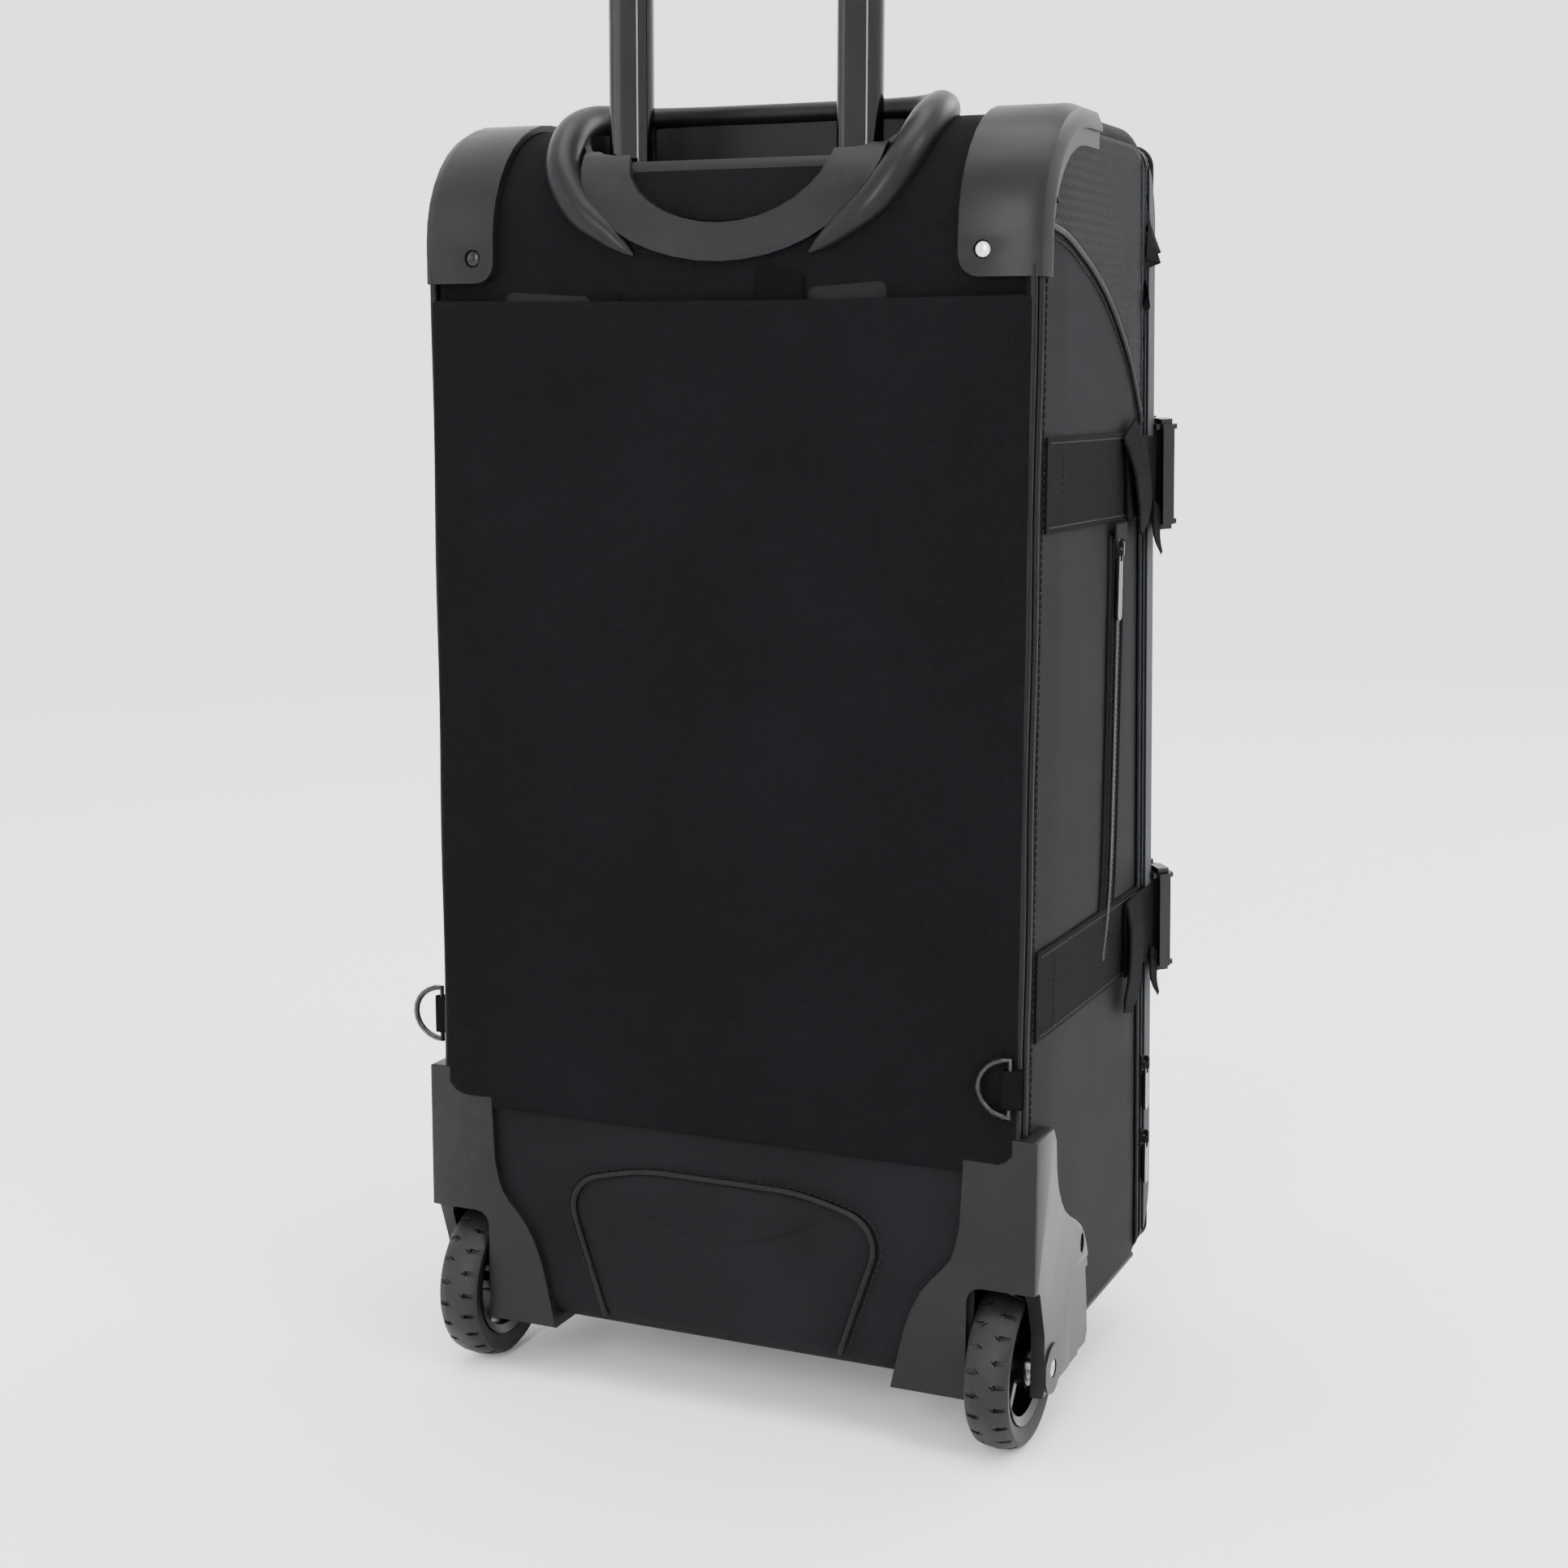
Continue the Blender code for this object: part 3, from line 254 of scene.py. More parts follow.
def band_profile(width, thickness, per_side=9):
    """Section of webbing: flat, with half-round selvedges a little thicker than the middle."""
    across = np.linspace(-0.5, 0.5, per_side) * (width - thickness)
    end = np.linspace(-math.pi / 2, math.pi / 2, 5)[1:-1]
    thick = thickness / 2 * (1 + 0.25 * (2 * np.abs(across) / width) ** 8)
    right = np.stack([(width - thickness) / 2 + thickness / 2 * np.cos(end), thickness / 2 * np.sin(end)],
                     1)
    return np.concatenate([np.stack([across, -thick], 1), right,
                           np.stack([across[::-1], thick[::-1]], 1), right[::-1] * (-1, 1)])


def pillow(outline, place, height, rings=10, slot=0, lift=None):
    """A crowned pad over a closed outline (u, v): rings shrink to the middle while the top rises
    as a power curve of the distance from the edge. place turns (u, v, w) arrays into points."""
    centre = outline.mean(0)
    share = np.linspace(0, 1, rings) ** 0.8
    flat = centre + (outline - centre)[None] * (1 - share[:, None, None] * 0.999)
    w = height * (1 - (1 - np.minimum(share * 3.2, 1.0)) ** 2.2)
    w = np.broadcast_to(w[:, None], flat.shape[:2]) + height * 0.35 * share[:, None] ** 1.5
    if lift is not None:
        w = w + lift(flat[..., 0], flat[..., 1])
    points = place(flat[..., 0], flat[..., 1], w)
    back = place(outline[None, :, 0] * np.ones((2, 1)), outline[None, :, 1] * np.ones((2, 1)),
                 np.array([[-0.0012], [0.0]]) * np.ones((1, len(outline))))
    top = points
    return [patch(np.concatenate([back[:1], top]), False, True, slot=slot), fan(top[-1], slot=slot),
            fan(back[0], slot=slot, flip=True)]


def thread(path, up, spacing=0.0042, length=0.0030, radius=0.00042, slot=0):
    """A row of sewn stitches: one short capsule, repeated along the path."""
    up = np.broadcast_to(np.asarray(up, float), np.shape(path))
    both = spaced(np.concatenate([path, up * 1e-6], 1), spacing)
    path, up = both[:, :3], unit(both[:, 3:])
    along, across, above = frames(path, up)
    ring = np.linspace(0, 2 * math.pi, 5, endpoint=False)
    at = np.array([-0.5, -0.35, 0.35, 0.5]) * length
    size = np.array([0.25, 1.0, 1.0, 0.25]) * radius
    lift = np.array([-0.6, 0.25, 0.25, -0.6]) * radius
    swell = size[None, :, None] * np.sin(ring) + lift[None, :, None]
    points = (path[:, None, None] + at[None, :, None, None] * along[:, None, None]
              + (size[None, :, None] * np.cos(ring))[..., None] * across[:, None, None]
              + swell[..., None] * above[:, None, None])
    count = len(path)
    one = quads(4, 5, False, True).reshape(-1, 4)
    faces = (one[None] + (np.arange(count) * 20)[:, None, None]).reshape(-1, 4)[:, ::-1]
    return {"points": points.reshape(-1, 3), "faces": faces, "slot": slot, "uv": np.zeros((count * 20, 2))}


# ---------------------------------------------------------------- pieces


def face_outwards(mesh, closed, toward):
    """Turns each closed form's faces outwards; an open sheet's faces look along a direction instead."""
    work = bmesh.new()
    work.from_mesh(mesh)
    bmesh.ops.recalc_face_normals(work, faces=work.faces)
    if not closed and sum(f.normal.dot(Vector(toward)) * f.calc_area() for f in work.faces) < 0:
        bmesh.ops.reverse_faces(work, faces=work.faces)
    work.to_mesh(mesh)
    work.free()


def piece(name, patches, materials, body="case", replaced=(), merge=1e-6, sharp=40.0,
          closed=True,
          toward=(0, 0, 1)):
    """Joins patches into one mesh whose equal points are merged, and lets it ride on a body."""
    starts = np.cumsum([0] + [len(p["points"]) for p in patches])
    points = np.concatenate([p["points"] for p in patches])
    faces = np.concatenate([p["faces"] + s for p, s in zip(patches, starts)])
    slots = np.concatenate([np.full(len(p["faces"]), p["slot"]) for p in patches])
    uv = np.concatenate([p["uv"] for p in patches])
    corner_uv = uv[faces]
    _, first, inverse = np.unique(np.round(points / merge).astype(np.int64), axis=0,
                                  return_index=True, return_inverse=True)
    points, faces = points[first], inverse.reshape(-1)[faces]
    mesh = bpy.data.meshes.new(name)
    distinct = [faces[:, k] != faces[:, (k + 1) % 4] for k in range(4)]
    sides = sum(d.astype(int) for d in distinct)
    good = sides >= 3
    faces, slots, corner_uv = faces[good], slots[good], corner_uv[good]
    kept = np.stack(distinct, 1)[good]
    totals = kept.sum(1)
    mesh.vertices.add(len(points))
    mesh.vertices.foreach_set("co", points.astype(np.float32).ravel())
    mesh.loops.add(int(totals.sum()))
    mesh.loops.foreach_set("vertex_index", faces[kept].astype(np.int32))
    mesh.polygons.add(len(faces))
    mesh.polygons.foreach_set("loop_start", np.concatenate([[0], np.cumsum(totals)[:-1]]).astype(np.int32))
    mesh.polygons.foreach_set("material_index", slots.astype(np.int32))
    mesh.polygons.foreach_set("use_smooth", np.ones(len(faces), bool))
    layer = mesh.uv_layers.new(name="UVMap")
    layer.data.foreach_set("uv", corner_uv[kept].astype(np.float32).ravel())
    mesh.update(calc_edges=True)
    mesh.validate()
    face_outwards(mesh, closed, toward)
    mesh.set_sharp_from_angle(angle=math.radians(sharp))
    for material in materials:
        mesh.materials.append(finishes(material))
    made = bpy.data.objects.new(name, mesh)
    bpy.context.scene.collection.objects.link(made)
    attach(made, body)
    if replaced:
        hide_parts(*([replaced] if isinstance(replaced, str) else replaced))
    return made


def with_wall(made, thickness, inward=-1.0, material_offset=0):
    """Gives an open surface its thickness."""
    wall = made.modifiers.new("wall", "SOLIDIFY")
    wall.thickness = thickness
    wall.offset = inward
    wall.use_even_offset = True
    wall.material_offset = material_offset
    wall.material_offset_rim = 0
    return made


def refined(node, material, bevel=0.0, sharp=32.0, name=None):
    """A frame node's own shape with its loose corners merged, smooth faces and softened edges."""
    source = frame["nodes"][node]
    mesh = source.data
    co = np.zeros(len(mesh.vertices) * 3, np.float32)
    mesh.vertices.foreach_get("co", co)
    mesh.calc_loop_triangles()
    corner = np.zeros(len(mesh.loop_triangles) * 3, np.int32)
    mesh.loop_triangles.foreach_get("vertices", corner)
    corner = corner.reshape(-1, 3)
    triangles = {"points": co.reshape(-1, 3).astype(float), "slot": 0, "uv": np.zeros((len(co) // 3, 2)),
                 "faces": np.concatenate([corner, corner[:, 2:]], 1)}
    made = piece(name or f"{node}_finish", [triangles], [material], source["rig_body"], node,
                 merge=5e-6, sharp=sharp)
    if bevel:
        edge = made.modifiers.new("edge", "BEVEL")
        edge.width = bevel
        edge.segments = 2
        edge.limit_method = "ANGLE"
        edge.angle_limit = math.radians(sharp)
        edge.use_clamp_overlap = True
        edge.harden_normals = True
    return made


# ---------------------------------------------------------------- effects shared by the finishes


def new_group(name, inputs, outputs):
    """An empty shader group with its sockets; inputs are (kind, name, default)."""
    group = bpy.data.node_groups.new(name, "ShaderNodeTree")
    for kind, label, default in inputs:
        socket = group.interface.new_socket(name=label, in_out="INPUT", socket_type=f"NodeSocket{kind}")
        socket.default_value = default
    for kind, label in outputs:
        group.interface.new_socket(name=label, in_out="OUTPUT", socket_type=f"NodeSocket{kind}")
    return group


def add(tree, kind, place=(0, 0), **values):
    """A node with its properties set and its inputs linked or filled in."""
    node = tree.nodes.new(f"ShaderNode{kind}")
    node.location = place
    for label, value in values.items():
        if label.startswith("i_"):
            key = label[2:]
            socket = node.inputs[int(key)] if key.isdigit() else node.inputs[key.replace("_", " ")]
            if isinstance(value, bpy.types.NodeSocket):
                tree.links.new(value, socket)
            else:
                socket.default_value = value
        else:
            setattr(node, label, value)
    return node


def maths(tree, operation, a, b=0.0, c=0.0):
    """A maths node's result."""
    return add(tree, "Math", operation=operation, i_0=a, i_1=b, i_2=c).outputs[0]


def group_ends(group):
    """A group's input and output nodes."""
    return group.nodes.new("NodeGroupInput"), group.nodes.new("NodeGroupOutput")


def weave_group():
    """Twill: two crossed thread waves on a slanted grid, broken up by noise."""
    group = new_group("fabric_weave", [("Float", "Pitch", 900.0), ("Float", "Slant", 1.0),
                                       ("Vector", "Place", (0, 0, 0))],
                      [("Float", "Height"), ("Float", "Variation")])
    start, end = group_ends(group)
    place = add(group, "SeparateXYZ", i_0=start.outputs["Place"])
    x = maths(group, "ADD", place.outputs[0], place.outputs[1])
    z = place.outputs[2]
    warp = maths(group, "SINE", maths(group, "MULTIPLY", maths(group, "MULTIPLY_ADD", x,
                                                               start.outputs["Slant"], z),
                                      start.outputs["Pitch"]))
    weft = maths(group, "SINE", maths(group, "MULTIPLY", maths(group, "SUBTRACT", x, z),
                                      start.outputs["Pitch"]))
    grain = add(group, "TexNoise", i_Vector=start.outputs["Place"], i_Scale=420.0, i_Detail=3.0)
    cloud = add(group, "TexNoise", i_Vector=start.outputs["Place"], i_Scale=9.0, i_Detail=4.0)
    height = maths(group, "MULTIPLY_ADD", warp, 0.3, maths(group, "MULTIPLY_ADD", weft, 0.2,
                                                           grain.outputs[0]))
    group.links.new(height, end.inputs["Height"])
    group.links.new(cloud.outputs[0], end.inputs["Variation"])
    return group


def rib_group():
    """Ribbed webbing: ribs across the piece's own length, with a fine cross thread."""
    group = new_group("webbing_ribs", [("Float", "Pitch", 2100.0), ("Vector", "Place", (0, 0, 0))],
                      [("Float", "Height")])
    start, end = group_ends(group)
    place = add(group, "SeparateXYZ", i_0=start.outputs["Place"])
    rib = maths(group, "SINE", maths(group, "MULTIPLY", place.outputs[0], start.outputs["Pitch"]))
    cross = maths(group, "SINE", maths(group, "MULTIPLY", place.outputs[1],
                                       maths(group, "MULTIPLY", start.outputs["Pitch"], 1.6)))
    grain = add(group, "TexNoise", i_Vector=start.outputs["Place"], i_Scale=700.0, i_Detail=2.0)
    height = maths(group, "MULTIPLY_ADD", rib, 0.6, maths(group, "MULTIPLY_ADD", cross, 0.25,
                                                          grain.outputs[0]))
    group.links.new(height, end.inputs["Height"])
    return group


def grain_group():
    """Moulded plastic's etched grain: small cells softened by noise."""
    group = new_group("moulded_grain", [("Float", "Scale", 900.0), ("Vector", "Place", (0, 0, 0))],
                      [("Float", "Height"), ("Float", "Variation")])
    start, end = group_ends(group)
    cells = add(group, "TexVoronoi", i_Vector=start.outputs["Place"], i_Scale=start.outputs["Scale"])
    noise = add(group, "TexNoise", i_Vector=start.outputs["Place"], i_Scale=260.0, i_Detail=4.0)
    cloud = add(group, "TexNoise", i_Vector=start.outputs["Place"], i_Scale=14.0, i_Detail=5.0)
    height = maths(group, "MULTIPLY_ADD", cells.outputs[0], 0.5, noise.outputs[0])
    group.links.new(height, end.inputs["Height"])
    group.links.new(cloud.outputs[0], end.inputs["Variation"])
    return group


def wear_group():
    """Edge wear: where the surface is convex, broken up by scuffs."""
    group = new_group("edge_wear", [("Float", "Low", 0.52), ("Float", "High", 0.60),
                                    ("Vector", "Place", (0, 0, 0))],
                      [("Float", "Mask")])
    start, end = group_ends(group)
    shape = add(group, "NewGeometry")
    scuff = add(group, "TexNoise", i_Vector=start.outputs["Place"], i_Scale=160.0, i_Detail=6.0,
                i_Roughness=0.7)
    edge = add(group, "MapRange", interpolation_type="SMOOTHSTEP", i_Value=shape.outputs["Pointiness"])
    group.links.new(start.outputs["Low"], edge.inputs["From Min"])
    group.links.new(start.outputs["High"], edge.inputs["From Max"])
    broken = add(group, "MapRange", i_Value=scuff.outputs[0])
    broken.inputs["From Min"].default_value = 0.35
    broken.inputs["From Max"].default_value = 0.7
    group.links.new(maths(group, "MULTIPLY", edge.outputs[0], broken.outputs[0]), end.inputs["Mask"])
    return group


def dust_group():
    """Dust and lint: pale specks and clouds, thicker on faces that look up and near the floor."""
    group = new_group("settled_dust", [("Float", "Amount", 0.5), ("Vector", "Place", (0, 0, 0))],
                      [("Float", "Mask")])
    start, end = group_ends(group)
    shape = add(group, "NewGeometry")
    facing = add(group, "SeparateXYZ", i_0=shape.outputs["Normal"])
    up = maths(group, "MAXIMUM", facing.outputs[2], 0.0)
    height = add(group, "SeparateXYZ", i_0=start.outputs["Place"])
    low = add(group, "MapRange", i_Value=height.outputs[2])
    low.inputs["From Min"].default_value = 0.20
    low.inputs["From Max"].default_value = 0.0
    cloud = add(group, "TexNoise", i_Vector=start.outputs["Place"], i_Scale=22.0, i_Detail=8.0,
                i_Roughness=0.75)
    speck = add(group, "TexVoronoi", i_Vector=start.outputs["Place"], i_Scale=120.0)
    fleck = maths(group, "LESS_THAN", speck.outputs[0], 0.035)
    cover = maths(group, "MULTIPLY_ADD", up, 0.5, maths(group, "MULTIPLY_ADD", low.outputs[0], 0.5, 0.22))
    mask = maths(group, "MULTIPLY", maths(group, "MULTIPLY", cover, cloud.outputs[0]),
                 start.outputs["Amount"])
    flecks = maths(group, "MULTIPLY", fleck, maths(group, "MULTIPLY", start.outputs["Amount"], 0.35))
    mask = add(group, "Clamp", i_0=maths(group, "ADD", mask, flecks)).outputs[0]
    group.links.new(mask, end.inputs["Mask"])
    return group


GROUPS = {"weave": weave_group, "ribs": rib_group, "grain": grain_group, "wear": wear_group,
          "dust": dust_group}
GROUP_NAMES = {"weave": "fabric_weave", "ribs": "webbing_ribs", "grain": "moulded_grain",
               "wear": "edge_wear", "dust": "settled_dust"}


# ---------------------------------------------------------------- finishes


# surface effect, colour, roughness, metallic, bump depth in metres, effect scale, dust, wear, extras
FINISH = {
    "twill": ("weave", (0.0028, 0.0030, 0.0034), 0.85, 0.0, 0.00022, 1900.0, 0.012, 0.0,
              {"Specular IOR Level": 0.05}),
    "coated": ("grain", (0.0052, 0.0055, 0.0061), 0.66, 0.0, 0.00010, 1500.0, 0.010, 0.0,
              {"Specular IOR Level": 0.05}),
    "webbing": ("ribs", (0.0030, 0.0031, 0.0034), 0.85, 0.0, 0.00025, 3000.0, 0.010, 0.0,
              {"Specular IOR Level": 0.05}),
    "piping": ("grain", (0.0020, 0.0021, 0.0024), 0.45, 0.0, 0.00006, 1500.0, 0.006, 0.0,
              {"Specular IOR Level": 0.14}),
    "mesh": ("weave", (0.0044, 0.0046, 0.0051), 0.70, 0.0, 0.00035, 1500.0, 0.012, 0.0,
              {"Specular IOR Level": 0.10}),
    "lining": ("weave", (0.030, 0.032, 0.036), 0.75, 0.0, 0.00012, 2600.0, 0.03, 0.0,
              {"Specular IOR Level": 0.2}),
    "plastic": ("grain", (0.0052, 0.0053, 0.0057), 0.36, 0.0, 0.00005, 1100.0, 0.015, 0.15,
              {"Specular IOR Level": 0.15}),
    "gloss": ("grain", (0.0030, 0.0030, 0.0034), 0.22, 0.0, 0.00002, 700.0, 0.012, 0.20,
              {"Specular IOR Level": 0.24}),
    "tube": ("grain", (0.0008, 0.0008, 0.0012), 0.10, 0.0, 0.000002, 300.0, 0.002, 0.0,
              {"Specular IOR Level": 0.28}),
    "rubber": ("grain", (0.0052, 0.0052, 0.0056), 0.50, 0.0, 0.00008, 900.0, 0.07, 0.20,
              {"Specular IOR Level": 0.20}),
    "wire": ("grain", (0.0040, 0.0040, 0.0044), 0.22, 0.0, 0.00001, 500.0, 0.02, 0.25,
              {"Specular IOR Level": 0.35}),
    "steel": ("grain", (0.62, 0.61, 0.59), 0.28, 1.0, 0.00001, 400.0, 0.08, 0.0, {}),
    "board": ("weave", (0.032, 0.033, 0.036), 0.60, 0.0, 0.00010, 1200.0, 0.03, 0.0, {}),
    "thread": ("ribs", (0.0060, 0.0062, 0.0068), 0.60, 0.0, 0.00002, 4000.0, 0.0, 0.0,
              {"Specular IOR Level": 0.16}),
    "zip": ("grain", (0.0028, 0.0029, 0.0033), 0.33, 0.0, 0.00002, 900.0, 0.010, 0.10,
              {"Specular IOR Level": 0.22}),
}


def finishes(name):
    """The finish's material, made the first time it is asked for."""
    found = bpy.data.materials.get(f"finish_{name}")
    return found or make_finish(name, *FINISH[name])


def effect(tree, key, place, **values):
    """One of the shared groups, placed in a finish with its own values."""
    node = tree.nodes.new("ShaderNodeGroup")
    node.node_tree = bpy.data.node_groups.get(GROUP_NAMES[key]) or GROUPS[key]()
    tree.links.new(place, node.inputs["Place"])
    for label, value in values.items():
        node.inputs[label].default_value = value
    return node


def make_finish(name, kind, colour, roughness, metallic, depth, scale, dust, wear, extras):
    """Colour, roughness and bump from the surface's own pattern, with dust and worn edges on top."""
    material = bpy.data.materials.new(f"finish_{name}")
    material.use_nodes = True
    material.diffuse_color = (*colour, 1.0)
    tree = material.node_tree
    shader = tree.nodes["Principled BSDF"]
    for label, value in extras.items():
        shader.inputs[label].default_value = value
    shader.inputs["Metallic"].default_value = metallic
    coordinates = add(tree, "TexCoord")
    own = coordinates.outputs["Object"]
    if kind == "ribs":
        pattern = effect(tree, "ribs", coordinates.outputs["UV"], Pitch=scale)
        cloud = add(tree, "TexNoise", i_Vector=own, i_Scale=12.0, i_Detail=4.0).outputs[0]
    else:
        label = "Pitch" if kind == "weave" else "Scale"
        pattern = effect(tree, kind, own, **{label: scale})
        cloud = pattern.outputs["Variation"]
    darker = tuple(c * 0.78 for c in colour)
    lighter = tuple(c * 1.28 for c in colour)
    tint = add(tree, "ValToRGB", i_0=cloud)
    tint.color_ramp.elements[0].position = 0.30
    tint.color_ramp.elements[0].color = (*darker, 1)
    tint.color_ramp.elements[1].position = 0.72
    tint.color_ramp.elements[1].color = (*lighter, 1)
    base = tint.outputs[0]
    rough = add(tree, "MapRange", i_Value=cloud)
    rough.inputs["To Min"].default_value = max(roughness - 0.08, 0.02)
    rough.inputs["To Max"].default_value = roughness + 0.08
    rough = rough.outputs[0]
    if wear:
        mask = maths(tree, "MULTIPLY", effect(tree, "wear", own).outputs[0], wear)
        pale = (*(min(c * 3.2 + 0.02, 0.8) for c in colour), 1)
        base = add(tree, "MixRGB", i_0=mask, i_1=base, i_2=pale).outputs[0]
        rough = maths(tree, "MULTIPLY_ADD", mask, 0.25, rough)
    if dust:
        mask = effect(tree, "dust", own, Amount=dust).outputs[0]
        base = add(tree, "MixRGB", i_0=mask, i_1=base, i_2=(0.09, 0.088, 0.085, 1)).outputs[0]
        rough = add(tree, "Clamp", i_0=maths(tree, "MULTIPLY_ADD", mask, 0.4, rough)).outputs[0]
    tree.links.new(base, shader.inputs["Base Color"])
    tree.links.new(rough, shader.inputs["Roughness"])
    bump = add(tree, "Bump", i_Strength=0.6, i_Distance=depth, i_Height=pattern.outputs["Height"])
    tree.links.new(bump.outputs[0], shader.inputs["Normal"])
    return material


# ---------------------------------------------------------------- the case's outline


def lid_line(z):
    """The lid's outer plane, seen from the side, as y at height z."""
    return REAR - LOW_DEPTH + (z - LOW_Z) * TAN_LEAN


def seam_line(z):
    """Where the lid's zip runs: parallel to the lid's outer plane."""
    return lid_line(z) + (LID_DEPTH + SEAM_GAP) / COS_LEAN


def front_edge(z, inset=0.0):
    """Front outline: the leaning line with an arc at the top and one at the bottom."""
    line = lid_line(z) + inset / COS_LEAN
    for centre_z, radius, top in ((TOP - FRONT_TOP_RADIUS, FRONT_TOP_RADIUS, True),
                                  (BOTTOM + FRONT_BOTTOM_RADIUS, FRONT_BOTTOM_RADIUS, False)):
        centre_y = lid_line(centre_z) + radius / COS_LEAN
        small = radius - inset
        meets = centre_z + small * SIN_LEAN
        arc = centre_y - np.sqrt(np.maximum(small ** 2 - (z - centre_z) ** 2, 0))
        line = np.where(z > meets if top else z < meets, arc, line)
    return line


def rear_edge(z, inset=0.0):
    """Rear outline: the upright line with a wide arc at the top and a tight one at the bottom."""
    line = np.full_like(z, REAR - inset)
    for centre_z, radius, top in ((TOP - REAR_TOP_RADIUS, REAR_TOP_RADIUS, True),
                                  (BOTTOM + REAR_BOTTOM_RADIUS, REAR_BOTTOM_RADIUS, False)):
        small = radius - inset
        arc = REAR - radius + np.sqrt(np.maximum(small ** 2 - (z - centre_z) ** 2, 0))
        line = np.where(z > centre_z if top else z < centre_z, arc, line)
    return line


def side_swell(y, z):
    """How far the soft side stands out: crowned between the straps, held in by them and by the edges."""
    inner = smoothstep(0, 0.045, rear_edge(z) - y) * smoothstep(0, 0.040, y - seam_line(z))
    ends = smoothstep(BOTTOM, BOTTOM + 0.06, z) * smoothstep(TOP, TOP - 0.08, z)
    held = 1.0
    for strap in STRAPS.values():
        held = held * (1 - 0.75 * np.exp(-((z - strap) / 0.030) ** 2))
    folds = 0.5 * ripple(y * 1.3, z * 0.5, 3) + 0.3 * ripple(y * 2.5, z, 8)
    return inner * ends * (0.0013 * held + 0.00045 * folds)


def side_point(y, z, sign, out=0.0):
    """Points on the side of the case, moved outwards by a distance."""
    y, z = np.broadcast_arrays(y, z)
    x = sign * (HALF_WIDTH + side_swell(y, z) + out)
    return np.stack([x, y, z], -1)


def outline_rows():
    """Heights of the side's rows: even along the straight part and following the arcs at both ends."""
    turn = np.linspace(0, math.pi / 2, 14)
    upper = TOP - REAR_TOP_RADIUS + (REAR_TOP_RADIUS - EDGE) * np.sin(turn)
    lower = BOTTOM + FRONT_BOTTOM_RADIUS - (FRONT_BOTTOM_RADIUS - EDGE) * np.sin(turn)
    middle = np.linspace(lower[0], upper[0], 118)[1:-1]
    rows = np.concatenate([lower[::-1], middle, upper])
    fine = np.linspace(rows[0], rows[-1], 4001)
    inside = front_edge(fine, EDGE) < seam_line(fine)
    first, last = np.argmax(inside), len(fine) - 1 - np.argmax(inside[::-1])
    marks = fine[[first, last]]
    apart = np.abs(rows[:, None] - marks[None]).min(1) > 0.0008
    return np.sort(np.concatenate([rows[apart], marks])), marks


def case_boundary(rows, marks, columns):
    """The side panel's grid of (y, z) and the open path round it from the top of the seam to its bottom."""
    low = np.maximum(front_edge(rows, EDGE), seam_line(rows))
    high = rear_edge(rows, EDGE)
    share = np.linspace(0, 1, columns)
    grid = np.stack([low[:, None] + (high - low)[:, None] * share,
                     np.broadcast_to(rows[:, None], (len(rows), columns))], -1)
    b, a = np.searchsorted(rows, marks - 1e-9)
    path = np.concatenate([grid[a:, 0], grid[-1, 1:], grid[-2::-1, -1], grid[0, -2::-1], grid[1:b + 1, 0]])
    return grid, path


def outward(path):
    """Normals of a path in (y, z): its slope turned a quarter to the left."""
    slope = unit(np.gradient(path, axis=0))
    return np.stack([-slope[:, 1], slope[:, 0]], 1)


def cup_inside(x, y, grow=0.0):
    """True over the handle's recess, in plan."""
    half, near, far, corner = 0.0945 + grow, REAR - 0.0125 + grow, REAR - 0.0785 - grow, 0.024
    dx = np.maximum(np.abs(x) - (half - corner), 0)
    dy = np.maximum(np.abs(y - (near + far) / 2) - ((near - far) / 2 - corner), 0)
    return dx ** 2 + dy ** 2 < corner ** 2


def quad_centres(points):
    """Middle of each quad of a grid."""
    return (points[:-1, :-1] + points[1:, :-1] + points[:-1, 1:] + points[1:, 1:]) / 4


